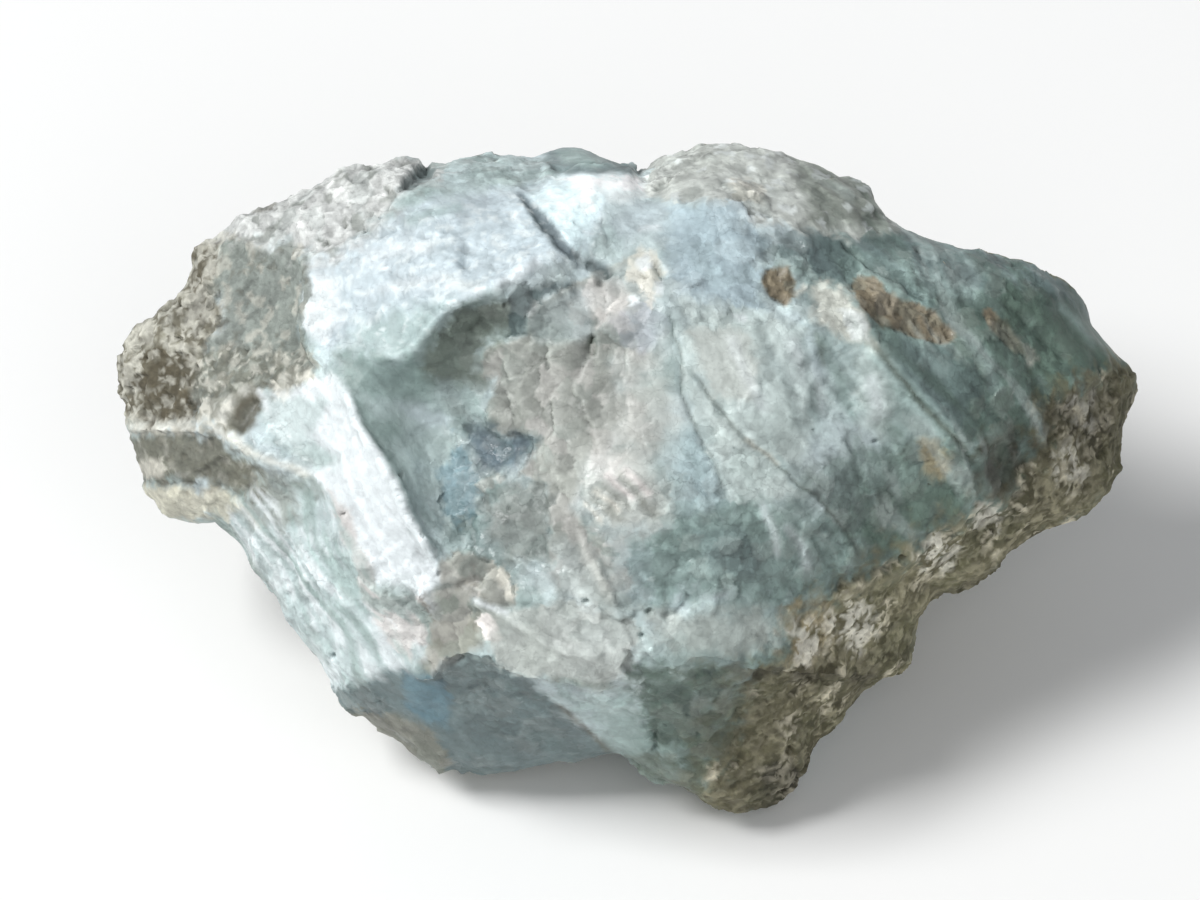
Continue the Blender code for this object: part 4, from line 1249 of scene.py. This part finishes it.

# %% [markdown]
# Thin lines of colour go on next: painted shadow in the cracks, the grooves and under some ridges, painted
# highlight along the lit crests and the white edges of the ledges, and the dark streaks that run down the
# right faces.

# %% Strokes
STROKES = [
    (SNOW, 0.8, 0.5, ((303, 324), (318, 330), (330, 345))),
    (SNOW, 0.7, 0.7, ((316, 268), (322, 300), (316, 330))),
    (SNOW, 0.6, 0.8, ((360, 262), (400, 250), (440, 246))),
    (WHITE, 0.9, 0.5, ((440, 276), (465, 286), (490, 292))),
    (SNOW, 0.6, 0.6, ((490, 290), (520, 276), (546, 260))),
    (SEA, 0.6, 0.6, ((400, 228), (430, 214), (470, 206))),
    (SNOW, 0.5, 0.5, ((372, 290), (410, 286), (450, 276))),
    (SNOW, 0.9, 0.4, ((335, 375), (350, 395), (360, 425), (395, 480), (415, 525), (437, 560))),
    (SNOW, 0.7, 0.4, ((300, 528), (335, 558))),
    (SNOW, 0.7, 0.35, ((247, 530), (256, 545))),
    (CREAM, 0.5, 0.4, ((225, 428), (255, 452), (318, 478))),
    (SNOW, 0.6, 0.35, ((365, 600), (392, 655))),
    (SNOW, 0.7, 0.3, ((470, 597), (512, 612))),
    (TEAL, 0.7, 0.9, ((815, 328), (846, 400), (854, 432))),
    (STEEL, 0.35, 0.7, ((752, 312), (766, 350), (790, 400), (802, 440))),
    (SNOW, 0.45, 0.8, ((790, 330), (822, 420))),
    (SNOW, 0.45, 0.7, ((866, 372), (874, 400), (872, 428))),
    (SNOW, 0.35, 0.6, ((728, 330), (742, 372), (768, 418))),
    (SEA, 0.6, 0.8, ((880, 250), (930, 282), (985, 300))),
    (SEA, 0.5, 0.6, ((905, 236), (1030, 286))),
    (SEA, 0.5, 0.7, ((960, 330), (985, 365), (995, 400))),
    (SEA, 0.5, 0.5, ((1050, 300), (1080, 325), (1098, 352))),
    (SEA, 0.5, 0.8, ((640, 560), (680, 570), (730, 566))),
    (SNOW, 0.4, 0.5, ((780, 520), (800, 545), (808, 575))),
    (SNOW, 0.4, 0.4, ((758, 500), (772, 530), (778, 560))),
    (TEAL, 0.5, 0.6, ((800, 330), (815, 430))),
    (SKY, 0.55, 1.6, ((684, 425), (716, 515))),
    (BLUSH, 0.5, 1.2, ((588, 462), (622, 466))),
    # Painted shadow in the valleys beside the starburst's rays.
    (NUB_GREY, 0.45, 0.5, ((640, 500), (658, 517))),
    (NUB_GREY, 0.45, 0.45, ((604, 504), (626, 522))),
    (STEEL, 0.5, 0.45, ((592, 512), (608, 531))),
    (BLUSH, 0.9, 0.42, ((618, 466), (636, 481), (652, 498))),
    (BLUSH, 0.9, 0.42, ((602, 470), (638, 502))),
    (CREAM, 0.7, 0.36, ((592, 485), (622, 512))),
    (CREAM, 0.6, 0.3, ((582, 500), (604, 524))),
    (FILM_LIGHT, 0.8, 0.7, ((572, 516), (602, 580), (618, 606))),
    # Painted shadow in the valleys between the starburst's rays.
    (NUB_GREY, 0.45, 0.26, ((612, 468), (629, 483), (648, 506))),
    (NUB_GREY, 0.45, 0.26, ((599, 479), (634, 512))),
    (NUB_GREY, 0.45, 0.26, ((588, 494), (600, 505), (616, 524))),
    (STEEL, 0.5, 0.3, ((578, 512), (596, 536))),
    (STEEL, 0.3, 0.3, ((582, 524), (612, 586), (632, 615))),
    (FOREST, 0.75, 0.32, ((862, 332), (892, 374), (985, 474))),
    (SEA, 0.6, 0.5, ((856, 336), (906, 402), (946, 448))),
    (FOREST, 0.5, 0.3, ((812, 330), (820, 350), (822, 372))),
    (DARK_STEEL, 0.4, 0.4, ((842, 238), (880, 272), (930, 306), (985, 356))),
    (SNOW, 0.7, 0.3, ((730, 318), (744, 320))),
    (SNOW, 0.6, 0.3, ((636, 232), (660, 228))),
    (CREAM, 0.7, 0.3, ((792, 300), (806, 284))),
    (CRUST_PALE, 0.8, 0.4, ((1070, 405), (1084, 425))),
    (CRUST_PALE, 0.8, 0.4, ((1062, 460), (1064, 482))),
    (CREAM, 0.6, 0.25, ((740, 437), (780, 466))),
    (DARK_STEEL, 0.45, 0.2, ((519, 196), (545, 236), (559, 253))),
    (DARK_STEEL, 0.5, 0.5, ((574, 260), (590, 264), (604, 270), (611, 279))),
    (FOREST, 0.3, 0.22, ((670, 315), (673, 335), (682, 360), (683, 400), (690, 420), (712, 460),
     (728, 502))),
    (FOREST, 0.35, 0.22, ((680, 358), (740, 437), (765, 455), (790, 478), (815, 495), (850, 540),
     (872, 572))),
    (FOREST, 0.7, 0.4, ((592, 336), (592, 355))),
    # Painted shadow in the slot.
    (BASALT_DARK_AND_SHADOW, 0.8, 0.45, ((236, 424), (240, 410), (262, 392))),
    (BASALT_DARK_AND_SHADOW, 0.6, 0.3, ((238, 434), (250, 426), (262, 404))),
    (CREAM, 0.7, 0.3, ((190, 418), (212, 424), (228, 438), (255, 455))),
    (SNOW, 0.8, 0.3, ((258, 388), (264, 398), (270, 414))),
    # Painted shadow in the groove under the nub.
    (BASALT_DARK_AND_SHADOW, 0.4, 0.4, ((132, 483), (180, 485), (222, 492))),
    (CREAM, 0.5, 0.5, ((236, 500), (252, 516), (262, 532))),
    (FOREST, 0.6, 0.4, ((545, 676), (580, 682), (620, 684))),
    # Painted shadow under the ridge over the lower left lobe.
    (BASALT_DARK_AND_SHADOW, 0.7, 0.3, ((550, 697), (575, 717), (618, 757))),
]
for tint, strength, width, spots in STROKES:
    line = mark(*spots)
    at = near(skin, line, width * 2.5)
    gap, _, along = from_line(skin.u[at], skin.v[at], line)
    weight = np.zeros(skin.count)
    weight[at] = strength * np.exp(-((gap / width) ** 2)) * tapered(along, 0.15) * skin.front[at]
    lay(tint, weight)
tell_paint("strokes")

# %% [markdown]
# No two flakes reflect the same light. Each flake, fibre and grain makes the paint a little lighter or darker
# by its own number, and a few are tinted. The film's flakes also get painted highlight on their left rims,
# which face the window, and painted shadow just beside them.

# %% Tone of each flake and fibre
streaks = fibre_places(skin)
long_streaks = noise(streaks * (0.75, 0.06, 0.15), 1.0, 131, 3, 0.6)
fine_streaks = noise(streaks * (1.6, 0.12, 0.3), 1.0, 132, 2)
LOWER_LEFT = (
    (214, 522), (262, 478), (335, 500), (372, 575), (437, 600), (425, 660), (345, 688), (255, 562),
)
lower_left = wash(skin, LOWER_LEFT, 1.0, 1.0)
lay(SNOW, 0.7 * lower_left * smooth(0.10, 0.30, long_streaks))
lay(SEA, 0.6 * lower_left * smooth(-0.05, -0.25, long_streaks))
lay(TEAL, 0.25 * lower_left * smooth(-0.18, -0.38, long_streaks))
rocky = np.clip(areas.basalt + areas.crust, 0, 1)
veined = (1 - rocky) * flaky
flake_tones = [
    (0.14 * veined + 0.26 * areas.film + 0.20 * areas.crust, wide_numbers[:, 0]),
    (0.24 * veined + 0.22 * areas.film + 0.22 * areas.dome, middle_numbers[:, 0]),
    (0.16 * rocky, middle_numbers[:, 1]),
    (0.24 * veined + 0.34 * areas.dome, small_numbers[:, 0]),
    (0.20 * rocky + 0.24 * areas.granular, small_numbers[:, 1]),
    (0.20 * rocky + 0.24 * areas.granular, grain_numbers[:, 0]),
]
tone = 1 + sum(amount * (number - 0.5) for amount, number in flake_tones)
tone += (1 - rocky) * (1 - 0.8 * areas.film) * (0.16 * long_streaks + 0.14 * fine_streaks)
tone += 0.12 * noise(skin.place, 3.0, 133, 3)
# Painted highlight and shadow at the rims of the film's flakes, fading out to the right, and a little on the
# vein.
scaly = areas.film * smooth(1.0, -7.0, skin.u + 3.0 * noise(skin.place, 5.0, 144, 2))
tone += where(scaly, lambda at: 0.22 * rim_light_and_shadow(torn[at], *WIDE_FLAKE) + 0.10 * rim_light_and_shadow(torn[at], *MIDDLE_FLAKE))
tone += where(0.06 * veined, lambda at: rim_light_and_shadow(torn[at], *WIDE_FLAKE))
right_face = smooth(12, 24, skin.u) * (1 - rocky)
tone += 0.26 * right_face * long_streaks
paint *= tone[:, None]
right_streaks = noise(streaks * (0.34, 0.05, 0.12), 1.0, 143, 3, 0.6)
lay(DEEP_TEAL, 0.5 * right_face * smooth(0.10, 0.38, right_streaks) * smooth(16, 30, skin.u))
lay(MIST, 0.35 * right_face * smooth(-0.12, -0.40, right_streaks))
bright_face = wash(skin, CALM_FACES[0], 1.5, 1.0)
# Painted highlight: white flecks on the bright upper face, with faint darker ones between.
highlight_flecks = noise(torn * (0.7, 1.3, 1.0), 1.4, 142, 3, 0.7)
lay(WHITE, 0.6 * bright_face * smooth(0.08, 0.30, highlight_flecks))
lay(STEEL, 0.16 * bright_face * smooth(-0.10, -0.34, highlight_flecks))
lay(STEEL, 0.30 * areas.film * (wide_numbers[:, 1] > 0.72))
lay(BLUSH, 0.22 * areas.film * (middle_numbers[:, 1] > 0.75))
lay(SNOW, 0.35 * areas.dome * (small_numbers[:, 1] > 0.9))
lay(FILM_LIGHT, 0.10 * veined * (middle_numbers[:, 1] > 0.72))
lay(TEAL, 0.15 * veined * (middle_numbers[:, 1] < 0.22))
paint *= 1 + 0.16 * (veined * (small_numbers[:, 1] > 0.92))[:, None]
lay(BASALT_DARK_AND_SHADOW, 0.35 * rocky * (grain_numbers[:, 1] < 0.10))
lay(BASALT_GREY, 0.5 * areas.granular * (small_numbers[:, 1] < 0.14))
tell_paint("toned")

# %% [markdown]
# Crevices are darkened as painted shade and proud edges lightened as painted highlight, in the shader. A
# point is in a crevice if its neighbours, averaged, stand proud of it.

# %% Crevices and edges, for painted shade and highlight
FINE_DEPTH = 0.10
BROAD_DEPTH = 0.30


def hollowness(mesh, rounds):
    """How sunk each point is among its neighbours, above 0 in a crevice and below 0 on an edge."""
    place = read_all(mesh.vertices, "co", 3).astype(float) / MM
    normal = read_all(mesh.vertex_normals, "vector", 3)
    first, second = read_all(mesh.edges, "vertices", 2, np.int32).T
    count = len(place)
    degree = np.bincount(first, minlength=count) + np.bincount(second, minlength=count)
    average = place
    for _ in range(rounds):
        sums = [
            np.bincount(first, part[second], count) + np.bincount(second, part[first], count)
            for part in average.T
        ]
        average = 0.4 * average + 0.6 * np.stack(sums, axis=1) / degree[:, None]
    return ((average - place) * normal).sum(axis=1)


sunk_fine = hollowness(stone.data, 3)
sunk_broad = hollowness(stone.data, 18)
sunk = 0.5 * np.clip(sunk_fine / FINE_DEPTH, -1, 1) + 0.5 * np.clip(sunk_broad / BROAD_DEPTH, -1, 1)
print("hollowness", sunk_fine.std().round(3), sunk_broad.std().round(3))

# %% Keep the washes on the mesh
keep("paint", np.hstack((np.clip(paint, 0, 1), np.ones((skin.count, 1)))), "FLOAT_COLOR")
keep("rocky", np.clip(areas.basalt + areas.crust + 0.5 * areas.granular, 0, 1))
# How sunk each point is; the shader paints shade in crevices and highlight on edges from it.
keep("sunk", sunk)
keep("flaky", np.clip(veined * (1 - areas.film) + 0.3 * areas.film, 0, 1))
tell_paint("kept")

# %% [markdown]
# ## The stone's material
# The paint is broken up in the shader. Voronoi cells in shaken coordinates give ragged flakes, each a little
# lighter or darker. Basalt and crust have stronger grains. Crevices are darkened here as painted shade, and
# proud edges lightened as painted highlight. Blue faces have a waxy shine, and the weathered parts are dull.

# %% Shader tools
finish = bpy.data.materials.new("larimar_finish")
finish.use_nodes = True
nodes = finish.node_tree.nodes
links = finish.node_tree.links
shader = nodes["Principled BSDF"]


def put(value, socket):
    """Link an output to a socket, or set a plain value on it."""
    if isinstance(value, bpy.types.NodeSocket):
        links.new(value, socket)
    else:
        socket.default_value = value


def calculate(operation, first, second=0.5):
    """One step of arithmetic."""
    node = nodes.new("ShaderNodeMath")
    node.operation = operation
    put(first, node.inputs[0])
    put(second, node.inputs[1])
    return node.outputs[0]


def spread(value, low, high, new_low, new_high):
    """Map a range of values to another range, and stop at its ends."""
    node = nodes.new("ShaderNodeMapRange")
    for socket, part in zip(node.inputs, (value, low, high, new_low, new_high)):
        put(part, socket)
    return node.outputs[0]


def blend(amount, first, second, kind="MIX"):
    """Mix two colours."""
    node = nodes.new("ShaderNodeMix")
    node.data_type = "RGBA"
    node.blend_type = kind
    put(amount, node.inputs["Factor"])
    put(first, node.inputs[6])
    put(second, node.inputs[7])
    return node.outputs[2]


def stored(name, part="Fac"):
    """A number or colour kept on the mesh."""
    node = nodes.new("ShaderNodeAttribute")
    node.attribute_name = name
    return node.outputs[part]


def texture(kind, place, size):
    """A texture node whose pattern has this size, in millimetres."""
    node = nodes.new("ShaderNodeTex" + kind)
    put(place, node.inputs["Vector"])
    put(1 / (size * MM), node.inputs["Scale"])
    return node


def cloudy(place, size, detail):
    """Noise with swells of this size, as a number and as a colour."""
    node = texture("Noise", place, size)
    put(detail, node.inputs["Detail"])
    return node.outputs["Fac"], node.outputs["Color"]


def grains(place, size):
    """A random number for each cell of this size."""
    split = nodes.new("ShaderNodeSeparateColor")
    put(texture("Voronoi", place, size).outputs["Color"], split.inputs[0])
    return split.outputs[0]


def combine(operation, first, second, part=0):
    """One step of arithmetic with two places."""
    node = nodes.new("ShaderNodeVectorMath")
    node.operation = operation
    put(first, node.inputs[0])
    put(second, node.inputs[1])
    return node.outputs[part]


def tilted(place, size, slope):
    """Flat facets of this size, each leaning its own way, as heights in millimetres."""
    node = texture("Voronoi", place, size)
    off_middle = combine("SUBTRACT", place, node.outputs["Position"])
    lean = combine("SUBTRACT", node.outputs["Color"], (0.5, 0.5, 0.5))
    return calculate("MULTIPLY", combine("DOT_PRODUCT", off_middle, lean, 1), slope / MM)


print("an empty material with", len(nodes), "nodes")

# %% Colour and shine
SPECK_SIZE = 0.55
FLAKE_SIZE = 1.0
PLATE_SIZE = 2.3
CRUMB_SIZE = 0.5
VEIL_SIZE = 0.9
SHAKE = 1.1

place = nodes.new("ShaderNodeTexCoord").outputs["Object"]
rocky_here = stored("rocky")
sunk_here = stored("sunk")
flaky_here = stored("flaky")
speck = grains(place, SPECK_SIZE)
veil, veil_colour = cloudy(place, VEIL_SIZE, 3.0)
torn_here = combine("ADD", combine("MULTIPLY", veil_colour, (SHAKE * MM,) * 3), place)
flake = grains(torn_here, FLAKE_SIZE)
plate = grains(torn_here, PLATE_SIZE)
flake_tone = calculate("ADD", spread(flake, 0.0, 1.0, -0.5, 0.5), spread(plate, 0.0, 1.0, -0.4, 0.4))
flake_tone = calculate("MULTIPLY", flake_tone, spread(flaky_here, 0.0, 1.0, 0.04, 0.21))
speck_tone = spread(speck, 0.0, 1.0, -0.5, 0.5)
veil_tone = spread(veil, 0.3, 0.7, -0.5, 0.5)
strength = spread(rocky_here, 0.0, 1.0, 0.10, 0.24)
grain_tone = calculate("MULTIPLY", calculate("ADD", speck_tone, veil_tone), strength)
# Painted shade in crevices and painted highlight on proud edges.
crevice = spread(sunk_here, 0.1, 1.0, 1.0, 0.72)
edge = spread(sunk_here, -0.1, -0.9, 1.0, 1.14)
grain_tone = calculate("ADD", grain_tone, flake_tone)
tone_here = calculate("MULTIPLY", calculate("ADD", grain_tone, 1.0), calculate("MULTIPLY", crevice, edge))
tone_colour = nodes.new("ShaderNodeCombineColor")
for socket in tone_colour.inputs:
    put(tone_here, socket)
put(blend(1.0, stored("paint", "Color"), tone_colour.outputs[0], "MULTIPLY"), shader.inputs["Base Color"])
glint = calculate("MULTIPLY", spread(flake, 0.75, 0.95, 0.0, 0.18), flaky_here)
put(calculate("SUBTRACT", spread(rocky_here, 0.0, 1.0, 0.48, 0.88), glint), shader.inputs["Roughness"])
shader.inputs["Specular IOR Level"].default_value = 0.4
print("colour and shine", len(nodes), "nodes")

# %% Fine relief
bump = nodes.new("ShaderNodeBump")
bump.inputs["Strength"].default_value = 1.0
bump.inputs["Distance"].default_value = MM
lean_height = calculate("ADD", tilted(torn_here, FLAKE_SIZE, 0.18), tilted(torn_here, PLATE_SIZE, 0.22))
flake_height = calculate("MULTIPLY", lean_height, spread(flaky_here, 0.0, 1.0, 0.1, 1.0))
grain_height = calculate("MULTIPLY", tilted(torn_here, CRUMB_SIZE, 0.35), rocky_here)
veil_height = calculate("MULTIPLY", veil, spread(rocky_here, 0.0, 1.0, 0.04, 0.14))
put(calculate("ADD", veil_height, calculate("ADD", flake_height, grain_height)), bump.inputs["Height"])
put(bump.outputs["Normal"], shader.inputs["Normal"])
stone.data.materials.clear()
stone.data.materials.append(finish)
print("material", len(nodes), "nodes")

# %% [markdown]
# The paint is also wanted as a picture, for programs that can't read the shader. A flat map serves it best:
# the front half of the stone seen from the front, above the back half seen from the back.

# %% Flat map
MAP_REACH = 150.0
MAP_MIDDLE = 0.5
BACK_HEIGHT = 0.26
FRONT_HEIGHT = 0.76


def flat_map(item):
    """Lay the front of the stone above its back on a square map."""
    skin = read_skin(item.data)
    layer = item.data.uv_layers.new(name="OFBake")
    corners = read_all(item.data.loops, "vertex_index", kind=np.int32)
    totals = read_all(item.data.polygons, "loop_total", kind=np.int32)
    behind = np.repeat(read_all(item.data.polygons, "normal", 3) @ OUT < 0, totals)
    flat = skin.place[corners][:, :2] / MAP_REACH
    across = np.where(behind, -flat[:, 0], flat[:, 0]) + MAP_MIDDLE
    up = flat[:, 1] + np.where(behind, BACK_HEIGHT, FRONT_HEIGHT)
    layer.data.foreach_set("uv", np.stack((across, up), axis=1).astype(np.float32).ravel())
    print("map", across.min().round(3), across.max().round(3), up.min().round(3), up.max().round(3))


flat_map(stone)

# %% Hand the stone over
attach(stone, "root")
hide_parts("larimar_stone")
